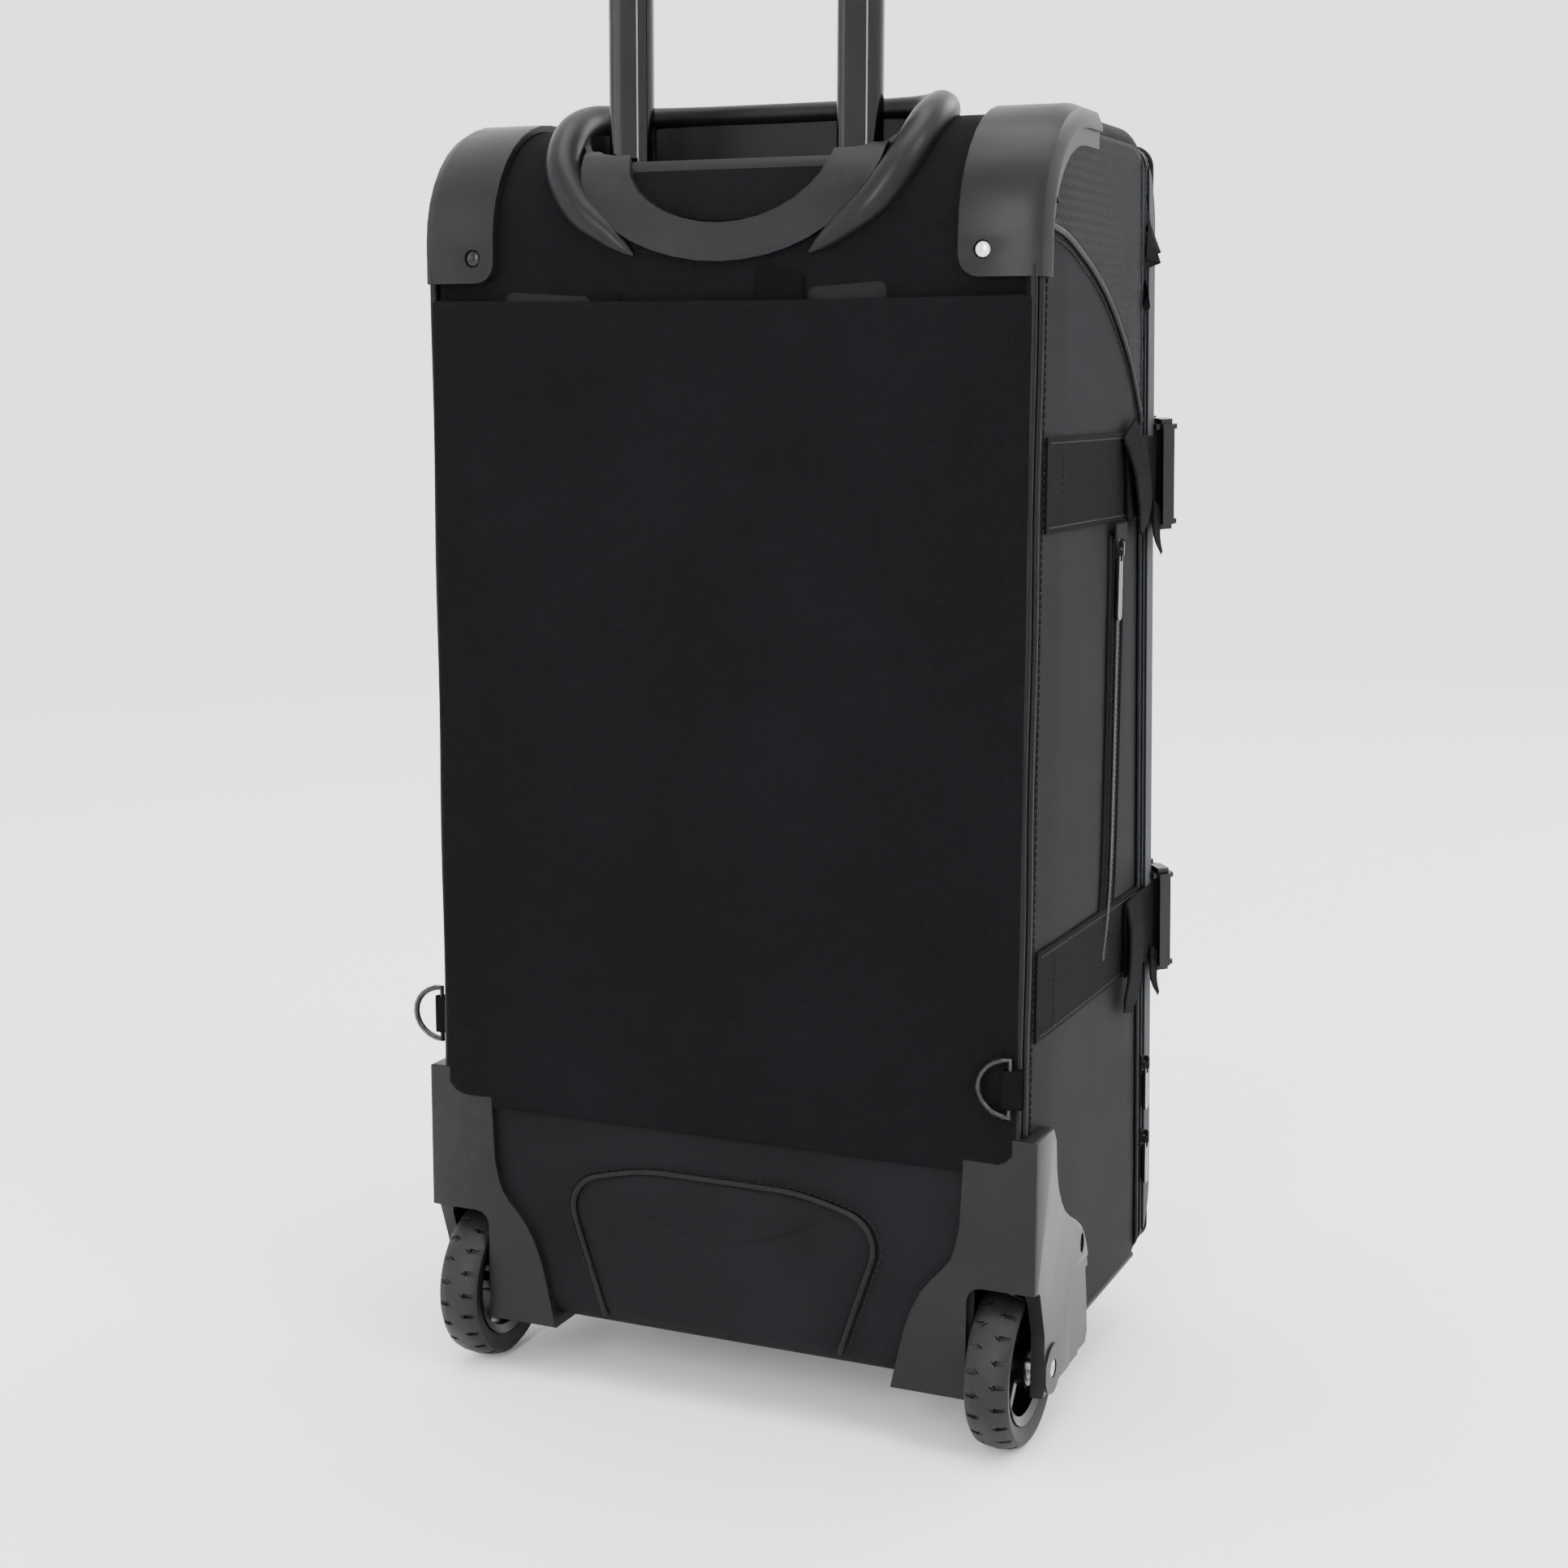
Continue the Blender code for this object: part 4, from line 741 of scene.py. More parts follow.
def case_body():
    """The case: two crowned sides, rounded edges and one long band over the top, the rear and the
    bottom, each on a grid whose border points are the next one's."""
    rows, marks = outline_rows()
    grid, path = case_boundary(rows, marks, 46)
    normal = outward(path)
    turn = np.linspace(0, math.pi / 2, 7)
    made = []
    for sign in (1, -1):
        side = side_point(grid[..., 0], grid[..., 1], sign)
        centres = quad_centres(side)
        well = (centres[..., 1] > REAR - WELL_DEPTH) & (centres[..., 2] < WELL_TOP)
        made.append(patch(side, keep=~well, flip=sign > 0))
        yz = path[:, None] + EDGE * np.sin(turn)[None, :, None] * normal[:, None]
        yz[..., 0] = np.maximum(yz[..., 0], seam_line(yz[..., 1]))
        swell = side_swell(path[:, 0], path[:, 1])[:, None] * np.cos(turn)
        x = sign * (HALF_WIDTH - EDGE * (1 - np.cos(turn)) + swell)
        edge = np.concatenate([x[..., None], yz], -1)
        centres = quad_centres(edge)
        well = (centres[..., 1] > REAR - WELL_DEPTH) & (centres[..., 2] < WELL_TOP)
        made.append(patch(edge, keep=~well, flip=sign > 0))
    outer = path + EDGE * normal
    outer[:, 0] = np.maximum(outer[:, 0], seam_line(outer[:, 1]))
    across = np.linspace(HALF_WIDTH - EDGE, -(HALF_WIDTH - EDGE), BAND_COLUMNS)
    band = np.concatenate([np.broadcast_to(across[None, :, None], (len(outer), BAND_COLUMNS, 1)),
                           np.broadcast_to(outer[:, None], (len(outer), BAND_COLUMNS, 2))], -1).copy()
    centre = 1 - (across / (HALF_WIDTH - EDGE)) ** 2
    top = smoothstep(TOP - 0.03, TOP, outer[:, 1])[:, None] * smoothstep(0.10, 0.05, outer[:, 0])[:, None]
    fold = 0.6 * ripple(band[..., 0] * 0.7, band[..., 1], 5)
    lift = 0.0016 * centre + 0.0008 * fold * centre
    band[..., 2] += top * lift * smoothstep(0.055, 0.035, band[..., 1])
    centres = quad_centres(band)
    hole = cup_inside(centres[..., 0], centres[..., 1], 0.0035) & (centres[..., 2] > CUP_FLOOR + 0.01)
    well = ((np.abs(centres[..., 0]) > WELL_INNER) & (centres[..., 1] > REAR - WELL_DEPTH)
            & (centres[..., 2] < WELL_TOP))
    made.append(patch(band, keep=~(hole | well), slot=1, flip=True))
    body = piece("case_body", made, ["coated", "twill", "lining", "lining"], "case", "case_shell",
                 closed=False, toward=(0, 1, 0))
    return with_wall(body, 0.0030, -1.0, 2)


def zip_track(name, path, up, body, tape=0.016):
    """Zip: a flat tape along a path, with two rows of moulded teeth meeting in its middle."""
    path = spaced(path, 0.0016)
    _, across, above = frames(path, up)
    made = carried(path - 0.0001 * above, band_profile(tape, 0.0007, 5), up, slot=1)
    pitch = np.arange(len(path))
    for sign in (1, -1):
        swing = 0.00055 * np.where(pitch % 2, 1.0, -0.25)[:, None] * sign
        size = np.where(pitch % 2, 1.0, 0.72)
        made += carried(path + (sign * 0.00085 + swing) * across + 0.0008 * above,
                        round_profile(0.00105, 6, 0.8),
                        up, scale=size, slot=0)
    return piece(name, made, ["zip", "webbing"], body, sharp=75)


def cord_piece(name, paths, radius, up, body, material="piping", closed=False):
    """Piping: a round cord carried along a seam."""
    made = []
    for path in paths:
        path = spaced(path, CORD_STEP) if np.ndim(up) == 1 else path
        made += carried(path, round_profile(radius, 12), up, closed=closed)
    return piece(name, made, [material], body)


def side_knots(sign, knots, out):
    """A smooth line on the side panel through knots (distance from the rear, height)."""
    line = spaced(spline(knots, 10), 0.003)
    return side_point(REAR - line[:, 0], line[:, 1], sign, out)


def rear_sleeve():
    """The flat sleeve: a panel with a soft bow, a hem folded over its top edge and rounded sides."""
    half, face = SLEEVE_HIGH.x, SLEEVE_HIGH.y
    x = np.concatenate([[-half, -half], np.linspace(-half + 0.001, half - 0.001, 120), [half, half]])
    z = np.concatenate([np.linspace(SLEEVE_LOW.z - 0.004, SLEEVE_HIGH.z - 0.004, 150),
                        SLEEVE_HIGH.z - 0.0040 + 0.0040 * np.sin(np.linspace(0.2, 1, 5) * math.pi / 2)])
    x, z = np.meshgrid(x, z)
    u, v = x / half, (z - SLEEVE_LOW.z) / (SLEEVE_HIGH.z - SLEEVE_LOW.z)
    bow = 0.0012 * (1 - u ** 2) * smoothstep(0.02, 0.2, v)
    folds = 0.00045 * ripple(x * 0.55, z * 0.28, 2) + 0.00025 * ripple(x * 1.6, z * 0.8, 6)
    hem = -0.0004 * np.exp(-((z - (SLEEVE_HIGH.z - 0.024)) / 0.0011) ** 2)
    seam = (-0.0008 * smoothstep(0.010, 0.0, half - np.abs(x))
            - 0.0010 * smoothstep(0.008, 0.0, z - SLEEVE_LOW.z))
    top = -0.0011 * smoothstep(SLEEVE_HIGH.z - 0.003, SLEEVE_HIGH.z, z) ** 2
    y = face - 0.0003 + (bow + folds) * smoothstep(0, 0.02, half - np.abs(x)) + hem + seam + top
    y = np.where((np.abs(u) > 0.9999), np.minimum(y, face - 0.0016), y)
    sag = -0.0016 * (1 - u ** 2) * smoothstep(0.93, 1.0, v)
    made = piece("rear_sleeve", [patch(np.stack([x, y, z + sag], -1), flip=False)], ["twill"], "case",
                 "rear_pocket_panel", closed=False, toward=(0, 1, 0))
    return with_wall(made, 0.0012, 1.0)


def lower_panel():
    """Coated panel under the sleeve: it follows the rear, wraps the bottom edge and has a curved top seam."""
    x = np.linspace(-0.1505, 0.1505, 110)
    drop = np.concatenate([np.linspace(0, 1, 46)])
    crown = 0.1668 + 0.0024 * (1 - (x / 0.15) ** 2)
    low = BOTTOM + REAR_BOTTOM_RADIUS
    straight = low + (crown[None, :] - low) * (1 - drop[:, None])
    x_grid = np.broadcast_to(x, straight.shape)
    y = REAR + 0.0018 + 0.0007 * ripple(x_grid, straight, 4) * smoothstep(0, 0.02, crown - straight)
    y = y + 0.0010 * smoothstep(0.004, 0.0, crown - straight)
    upper = np.stack([x_grid, y, straight], -1)
    turn = np.linspace(0, math.pi / 2, 9)[1:, None]
    radius = REAR_BOTTOM_RADIUS + 0.0018
    wrap = np.stack(np.broadcast_arrays(x[None], REAR - REAR_BOTTOM_RADIUS + radius * np.cos(turn),
                                        low - radius * np.sin(turn)), -1)
    inwards = REAR - REAR_BOTTOM_RADIUS - np.linspace(0.004, 0.060, 12)[:, None]
    under = np.stack(np.broadcast_arrays(x[None], inwards, BOTTOM - 0.0018), -1)
    made = piece("lower_rear_cover", [patch(np.concatenate([upper, wrap, under]), flip=True)], ["coated"],
                 "case",
                 "lower_rear_panel", closed=False, toward=(0, 1, 0))
    with_wall(made, 0.0016, -1.0)
    seam = np.stack([x[2:-2], np.full(106, REAR + 0.0036), crown[2:-2] - 0.0008], 1)
    cord_piece("lower_rear_seam", [seam], 0.0013, (0, 1, 0), "case", "coated")
    rows = [thread(seam - (0, 0.0009, 0.0042), (0, 1, 0))]
    piece("lower_rear_stitching", rows, ["thread"], "case")
    return made


def rear_place(out):
    """Turns (x, z, lift) arrays into points on the rear face and round its bottom edge."""
    def place(x, z, lift):
        low = BOTTOM + REAR_BOTTOM_RADIUS
        radius = REAR_BOTTOM_RADIUS + out + lift
        turn = np.clip((low - z) / (REAR_BOTTOM_RADIUS + out), 0, math.pi / 2)
        y = np.where(z > low, REAR + out + lift, REAR - REAR_BOTTOM_RADIUS + radius * np.cos(turn))
        height = np.where(z > low, z, low - radius * np.sin(turn))
        return np.stack(np.broadcast_arrays(x, y, height), -1)
    return place


PAD_OUTLINE = [(-0.072, 0.0445, 0.004), (0.072, 0.0445, 0.004), (0.0985, 0.1235, 0.020),
               (0.0480, 0.1362, 0.12),
               (-0.0480, 0.1362, 0.12), (-0.0985, 0.1235, 0.020)]


def grab_pad():
    """Fan-shaped padded grab area: a crowned pad inside piping, with a pressed smile-shaped crease."""
    outline = spaced(np.concatenate([filleted(PAD_OUTLINE, 12), filleted(PAD_OUTLINE, 12)[:1]]),
                     0.0032)[:-1]

    def crease(x, z):
        smile = 0.1015 + 0.020 * (x / 0.062) ** 2
        mark = np.exp(-((z - smile) / 0.0019) ** 2) * smoothstep(0.072, 0.050, np.abs(x + 0.004))
        step = (smoothstep(smile - 0.001, smile + 0.004, z) * smoothstep(0.072, 0.045, np.abs(x))
                * smoothstep(0.134, 0.118, z))
        return -0.0009 * mark + 0.0009 * step + 0.0005 * ripple(x, z, 9)

    pad = piece("grab_pad", pillow(outline, rear_place(0.0022), 0.0040, 16, lift=crease), ["coated"],
                "case", "kick_pad")
    upper = outline[(outline[:, 1] > 0.046)]
    start = np.argmin(np.where(upper[:, 0] > 0, upper[:, 1], 9))
    rim = np.roll(upper, -start, 0)
    place = rear_place(0.0030)
    cord = place(rim[:, 0], rim[:, 1], np.full(len(rim), 0.0))
    cord_piece("grab_pad_piping", [cord], 0.0021, (0, 1, 0), "case")
    outer = (rim - outline.mean(0)) * 1.045 + outline.mean(0)
    row = rear_place(0.0020)(outer[:, 0], outer[:, 1], np.zeros(len(outer)))
    piece("grab_pad_stitching", [thread(row[3:-3], (0, 1, 0))], ["thread"], "case")
    return pad


def edge_piping():
    """The two cords down each rear edge, between the top guard and the wheel housing."""
    z = np.linspace(0.176, 0.636, 60)
    for side, sign in SIDES.items():
        wave = 0.0003 * np.sin(z * 41 + sign)
        inner = np.stack([np.full(60, sign * 0.1738) + wave, np.full(60, REAR + 0.0035), z], 1)
        outer = np.stack([np.full(60, sign * (HALF_WIDTH - 0.0012)) + wave, np.full(60, REAR - 0.0012), z],
                         1)
        cord_piece(f"rear_piping_{side}", [inner, outer], 0.0021, (0, 1, 0), "case")
        row = np.stack([np.full(60, sign * (HALF_WIDTH + 0.0004)), np.full(60, REAR - 0.0075), z], 1)
        piece(f"rear_edge_stitching_{side}", [thread(row[1:-1], (sign, 0, 0))], ["thread"], "case")


def stowed_straps():
    """Folded shoulder straps in the sleeve: a padded mesh end and a flat webbing end beside it."""
    for side, sign, mesh, band in (("left", 1, (0.078, 0.130, 0.6255), (0.060, 0.076, 0.6235)),
                                   ("right", -1, (0.050, 0.094, 0.6290), (0.020, 0.048, 0.6345))):
        made = []
        for slot, (low, high, top) in enumerate((mesh, band)):
            outline = filleted([(sign * low, 0.585, 0), (sign * high, 0.585, 0), (sign * high, top, 0.004),
                                (sign * low, top + (0.002 if slot else -0.003), 0.003)][::sign], 6)
            outline = spaced(np.concatenate([outline, outline[:1]]), 0.003)[:-1]

            def place(x, z, lift, base=REAR + 0.0006 + 0.0006 * slot):
                return np.stack(np.broadcast_arrays(x, base + lift, z), -1)

            made += pillow(outline, place, 0.0022 - 0.0008 * slot, 8, slot=slot)
        piece(f"stowed_strap_{side}_end", made, ["mesh", "webbing"], "case", f"stowed_strap_{side}")


# ---------------------------------------------------------------- the lid


def lid_place(x, depth, along):
    """Lid coordinates to world: depth runs inwards from the lid's outer plane and along runs up it."""
    x, depth, along = np.broadcast_arrays(x, depth, along)
    return np.stack([x, REAR - LOW_DEPTH + depth * COS_LEAN + along * SIN_LEAN,
                     LOW_Z - depth * SIN_LEAN + along * COS_LEAN], -1)


LID_UP = np.array([0.0, SIN_LEAN, COS_LEAN])
LID_OUT = np.array([0.0, -COS_LEAN, SIN_LEAN])


def lid_body():
    """The lid: shallow sides, rounded edges and a long band over its front, mirrored from the case's."""
    rows, marks = outline_rows()
    rows = rows[(rows > marks[0] - 1e-9) & (rows < marks[1] + 1e-9)]
    low = front_edge(rows, EDGE)
    high = np.maximum(seam_line(rows) - 2 * SEAM_GAP, low)
    share = np.linspace(0, 1, 8)
    grid = np.stack([low[:, None] + (high - low)[:, None] * share,
                     np.broadcast_to(rows[:, None], (len(rows), 8))], -1)
    path = grid[:, 0]
    normal = outward(path)
    turn = np.linspace(0, math.pi / 2, 7)
    made = []
    for sign in (1, -1):
        side = np.concatenate([np.broadcast_to(sign * HALF_WIDTH, grid.shape[:2] + (1,)), grid], -1)
        made.append(patch(side))
        yz = path[:, None] + EDGE * np.sin(turn)[None, :, None] * normal[:, None]
        yz[..., 0] = np.minimum(yz[..., 0], seam_line(yz[..., 1]) - 2 * SEAM_GAP)
        x = sign * (HALF_WIDTH - EDGE * (1 - np.cos(turn)))
        made.append(patch(np.concatenate([np.broadcast_to(x, yz.shape[:2])[..., None], yz], -1)))
    outer = path + EDGE * normal
    outer[:, 0] = np.minimum(outer[:, 0], seam_line(outer[:, 1]) - 2 * SEAM_GAP)
    across = np.linspace(HALF_WIDTH - EDGE, -(HALF_WIDTH - EDGE), BAND_COLUMNS)
    band = np.concatenate([np.broadcast_to(across[None, :, None], (len(outer), BAND_COLUMNS, 1)),
                           np.broadcast_to(outer[:, None], (len(outer), BAND_COLUMNS, 2))], -1).copy()
    edge = smoothstep(0, 0.05, HALF_WIDTH - np.abs(band[..., 0])) * smoothstep(0.05, 0.12, band[..., 2]) \
        * smoothstep(0.71, 0.62, band[..., 2])
    band += LID_OUT * (edge * (0.0018 + 0.0007 * ripple(band[..., 0], band[..., 2] * 0.7, 12)))[..., None]
    made.append(patch(band))
    lid = piece("lid_cover", made, ["coated", "lining", "lining"], "lid", "lid_panel",
                closed=False,
                toward=(0, 1, 0))
    return with_wall(lid, 0.0030, -1.0, 1)


def pocket_swell(x, along):
    """How far the pocket stands out of the lid: the same crown as its pad's."""
    share = np.clip(1 - np.maximum(np.abs(x) / 0.1395, np.abs(along - 0.2835) / 0.271), 0, 1)
    return 0.0200 * (1 - (1 - np.minimum(share * 3.2, 1.0)) ** 2.2 + 0.35 * share ** 1.5)


def front_pocket():
    """Pleated pocket on the lid: a crowned pad with piping at its front edge and two curved zips."""
    outline = filleted([(-0.1395, 0.0125, 0.030), (0.1395, 0.0125, 0.030), (0.1395, 0.5545, 0.030),
                        (-0.1395, 0.5545, 0.030)], 10)
    outline = spaced(np.concatenate([outline, outline[:1]]), 0.0045)[:-1]

    def place(x, z, lift):
        return lid_place(x, -lift, z)

    def folds(x, z):
        return 0.0009 * ripple(x * 0.8, z * 0.5, 7) * smoothstep(0, 0.03, 0.14 - np.abs(x))

    pad = piece("pocket_cover", pillow(outline, place, 0.0200, 22, lift=folds), ["coated"], "lid",
                "front_pocket")
    small = (outline - outline.mean(0)) * 0.93 + outline.mean(0)
    rim = lid_place(small[:, 0], -0.0212, small[:, 1])
    cord_piece("pocket_piping", [np.concatenate([rim, rim[:1]])], 0.0019, LID_OUT, "lid")
    for name, height, sag in (("upper", 0.50, -0.030), ("lower", 0.27, -0.030)):
        x = np.linspace(-0.118, 0.118, 60)
        along = height + sag * (x / 0.118) ** 2
        line = lid_place(x, -pocket_swell(x, along) - 0.0008, along)
        zip_track(f"pocket_zip_{name}", line, LID_OUT, "lid", tape=0.020)
    return pad


def front_straps():
    """Webbing over the pocket, stitched at the left corner."""
    for level in STRAPS:
        low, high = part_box(f"front_strap_{level}")
        middle_z = (low.z + high.z) / 2 - 0.002
        along = (middle_z - LOW_Z + 0.0180 * SIN_LEAN) / COS_LEAN
        knots = np.array([(0.1740, -0.0060), (0.1640, -0.0120), (0.1440, -0.0240), (0.1330, -0.0296),
                          (0.0, -0.0297),
                          (-0.1310, -0.0296), (-0.1395, -0.0318)])
        line = spline(knots, 12)
        path = spaced(lid_place(line[:, 0], line[:, 1], along), 0.004)
        along_dir, _, _ = frames(path, LID_UP)
        out = unit(np.cross(np.broadcast_to(LID_UP, path.shape), along_dir))
        out = out * np.sign((out @ LID_OUT).mean())
        piece(f"front_webbing_{level}", carried(path, band_profile(STRAP_WIDTH, 0.0017), out), ["webbing"],
              "lid",
              f"front_strap_{level}")
        rows = [thread(path[6:-6] + LID_UP * k * 0.0215 + out[6:-6] * 0.0009, out[6:-6]) for k in (1, -1)]
        piece(f"front_webbing_stitches_{level}", rows, ["thread"], "lid")


def side_straps():
    """Webbing sewn round each side, with a box stitch at its rear end."""
    for side, sign in SIDES.items():
        for level, height in STRAPS.items():
            low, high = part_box(f"side_strap_{level}_{side}")
            y = np.linspace(low.y, high.y, 60)
            path = side_point(y, np.full(60, height), sign, 0.0012)
            up = np.array([sign, 0, 0])
            made = carried(path, band_profile(STRAP_WIDTH - 0.0006, 0.0017), up)
            piece(f"side_webbing_{level}_{side}", made, ["webbing"], "case", f"side_strap_{level}_{side}")
            rows = [thread(path[2:-2] + (sign * 0.0009, 0, k * 0.0215), up) for k in (1, -1)]
            for start in (2, 50):
                across = np.linspace(-0.0215, 0.0215, 12)
                rows.append(thread(np.stack([np.full(12, path[start, 0] + sign * 0.0009),
                                             np.full(12, y[start]),
                                             height + across], 1), up))
            piece(f"side_webbing_stitches_{level}_{side}", rows, ["thread"], "case")


# loose flaps on the right side: (x, distance behind the strap's front end, height above the strap's middle)
FLAPS = {"upper": [(-0.1812, 0.032, 0.027), (-0.1852, 0.024, 0.010), (-0.1858, 0.013, -0.012),
                   (-0.1840, 0.005, -0.030)],
         "lower": [(-0.1815, 0.022, 0.020), (-0.1850, 0.024, 0.000), (-0.1850, 0.026, -0.026),
                   (-0.1826, 0.030, -0.046)]}


def strap_tails():
    """Loose ends on the right: the webbing from each buckle lies over the side strap under a keeper."""
    for level, height in STRAPS.items():
        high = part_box(f"buckle_socket_{level}")[1]
        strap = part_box(f"side_strap_{level}_right")[0].y
        knots = [(-0.1800, high.y - 0.010, height - 0.002), (-0.1812, high.y + 0.004, height - 0.001),
                 (-0.1812, strap + 0.010, height), (-0.1812, strap + 0.034, height - 0.002)]
        path = spaced(spline(knots, 10), 0.0025)
        piece(f"strap_tail_{level}", carried(path, band_profile(0.0455, 0.0016), (-1, 0, 0)), ["webbing"],
              f"buckle_socket_{level}")
        knots = FLAPS[level]
        flap = spaced(spline([(x, strap + y, height + z) for x, y, z in knots], 12), 0.0025)
        reach = np.linspace(0, 1, len(flap))
        piece(f"keeper_flap_{level}", carried(flap, band_profile(0.026, 0.0015), (-1, 0, 0),
                                              scale=1 - 0.35 * smoothstep(0.86, 1.0, reach)), ["webbing"],
                                              "case")
        tail = spaced(spline([(-0.1830, high.y - 0.004, height - 0.018),
                              (-0.1850, high.y + 0.002, height - 0.034),
                              (-0.1870, high.y - 0.003, height - 0.046)], 10), 0.002)
        reach = np.linspace(0, 1, len(tail))
        piece(f"strap_point_{level}", carried(tail, band_profile(0.017, 0.0014), (-1, 0, 0),
                                              scale=1 - 0.75 * smoothstep(0.3, 1.0, reach)), ["webbing"],
              f"buckle_socket_{level}")


def carry_handle():
    """Soft webbing handle on the top, sewn down at both ends."""
    low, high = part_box("top_handle")
    x = np.array([low.x + 0.001, -0.070, -0.052, -0.030, 0.0, 0.030, 0.052, 0.070, high.x - 0.001])
    z = np.array([0.0023, 0.0023, 0.0068, 0.0100, 0.0104, 0.0100, 0.0068, 0.0023, 0.0023]) + TOP
    y = (low.y + high.y) / 2
    line = spline(np.stack([x, z], 1), 10)
    path = spaced(np.stack([line[:, 0], np.full(len(line), y), line[:, 1]], 1), 0.003)
    middle = smoothstep(0.066, 0.045, np.abs(path[:, 0]))
    made = carried(path, band_profile(0.0275, 0.0030), (0, 0, 1), scale=1 - 0.12 * middle)
    piece("carry_handle", made, ["webbing"], "case", "top_handle")
    rows = []
    for sign in (1, -1):
        box = np.array([(0.084, -0.011), (0.084, 0.011), (0.072, 0.011), (0.072, -0.011), (0.084, -0.011)])
        rows.append(thread(np.stack([sign * box[:, 0], y + box[:, 1], np.full(5, TOP + 0.0040)], 1),
                           (0, 0, 1)))
    piece("carry_handle_stitches", rows, ["thread"], "case")


def ring_tabs():
    """Folded webbing loops that hold the D-rings."""
    for side in SIDES:
        low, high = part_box(f"d_ring_tab_{side}")
        ring_low, ring_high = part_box(f"d_ring_{side}")
        z = np.linspace(low.z, high.z, 9)
        if side == "left":
            bar = np.array([ring_low.x + 0.0010, (ring_low.y + ring_high.y) / 2])
            angle = np.linspace(-math.pi / 2, math.pi / 2, 15)
            loop = bar + 0.0031 * np.stack([np.cos(angle), np.sin(angle)], 1)
            foot = np.array([[low.x + 0.0004, low.y + 0.0004]]), np.array([[low.x + 0.0004,
                                                                            high.y - 0.0004]])
        else:
            bar = np.array([ring_low.x + 0.0010, (ring_low.y + ring_high.y) / 2])
            angle = np.linspace(-math.pi / 2, math.pi / 2, 15)
            loop = bar + 0.0031 * np.stack([np.cos(angle), np.sin(angle)], 1)
            foot = np.array([[low.x + 0.0004, low.y + 0.0005]]), np.array([[low.x + 0.0004,
                                                                            high.y - 0.0030]])
        section = spaced(np.concatenate([foot[0], loop, foot[1]]), 0.0008)
        points = np.concatenate([np.broadcast_to(section[None], (9, len(section), 2)),
                                 np.broadcast_to(z[:, None, None], (9, len(section), 1))], -1)
        tab = piece(f"ring_tab_{side}", [patch(points)], ["webbing"], "case", f"d_ring_tab_{side}",
                    closed=False, toward=(1, 0, 0))
        with_wall(tab, 0.0009, 1.0)


def hinge_and_main_zip():
    """Two half zips round the seam, one on the case and one on the lid, and the cord at the hinge."""
    fine = np.linspace(BOTTOM, TOP, 6001)
    inside = front_edge(fine) < seam_line(fine)
    first, last = fine[np.argmax(inside)], fine[len(fine) - 1 - np.argmax(inside[::-1])]
    ends = [(z - LOW_Z + (LID_DEPTH + SEAM_GAP) * SIN_LEAN) / COS_LEAN for z in (first, last)]
    half = HALF_WIDTH + 0.0006
    corners = [(0.165, ends[1] + 0.0006, 0), (-half, ends[1] + 0.0006, 0.010),
               (-half, ends[0] - 0.0006, 0.010),
               (0.165, ends[0] - 0.0006, 0)]
    line = spaced(filleted(corners, 8), 0.0016)
    slope = unit(np.gradient(line, axis=0))
    out = np.stack([-slope[:, 1] * -1, np.zeros(len(line)), slope[:, 0] * -1], 1)
    out = out[:, :1] * np.array([1.0, 0, 0]) + out[:, 2:] * LID_UP
    centre = lid_place(0.0, LID_DEPTH, (ends[0] + ends[1]) / 2)
    path = lid_place(line[:, 0], LID_DEPTH + SEAM_GAP / 2, line[:, 1])
    if ((path - centre) * out).sum() < 0:
        out = -out
    for body, sign in (("case", 1), ("lid", -1)):
        shift = -LID_OUT * sign
        tape = path + shift * 0.0048
        made = carried(tape, band_profile(0.0090, 0.0007, 5), out, slot=1)
        pitch = np.arange(len(path))
        swing = np.where(pitch % 2, 0.0010, -0.0002)[:, None]
        size = np.where(pitch % 2, 1.0, 0.72)
        made += carried(path + shift * (0.0011 + swing) + out * 0.0008, round_profile(0.00105, 6, 0.8),
                        out, scale=size,
                        slot=0)
        piece(f"main_zip_{body}_half", made, ["zip", "webbing"], body, sharp=75)
        cord_piece(f"seam_piping_{body}", [tape + shift * 0.0058 + out * 0.0006], 0.0015, out, body)
    hinge = lid_place(HALF_WIDTH + 0.0004, LID_DEPTH + SEAM_GAP / 2,
                      np.linspace(ends[0] + 0.012, ends[1] - 0.012, 60))
    cord_piece("hinge_cord", [hinge], 0.0016, (1, 0, 0), "case", "webbing")


def top_of_side(y):
    """Height of the side panel's top border above each y."""
    rear, front = REAR - REAR_TOP_RADIUS, lid_line(TOP - FRONT_TOP_RADIUS) + FRONT_TOP_RADIUS / COS_LEAN
    inner_r, inner_f = REAR_TOP_RADIUS - EDGE, FRONT_TOP_RADIUS - EDGE
    z = np.full_like(y, TOP - EDGE)
    z = np.where(y > rear, TOP - REAR_TOP_RADIUS + np.sqrt(np.maximum(inner_r ** 2 - (y - rear) ** 2, 0)),
                 z)
    return np.where(y < front, TOP - FRONT_TOP_RADIUS + np.sqrt(np.maximum(inner_f ** 2 - (y - front) ** 2,
                                                                           0)), z)


MESH_CURVE = [(0.0090, 0.6560), (0.040, 0.650), (0.096, 0.630), (0.140, 0.602), (0.172, 0.572),
              (0.1850, 0.556)]


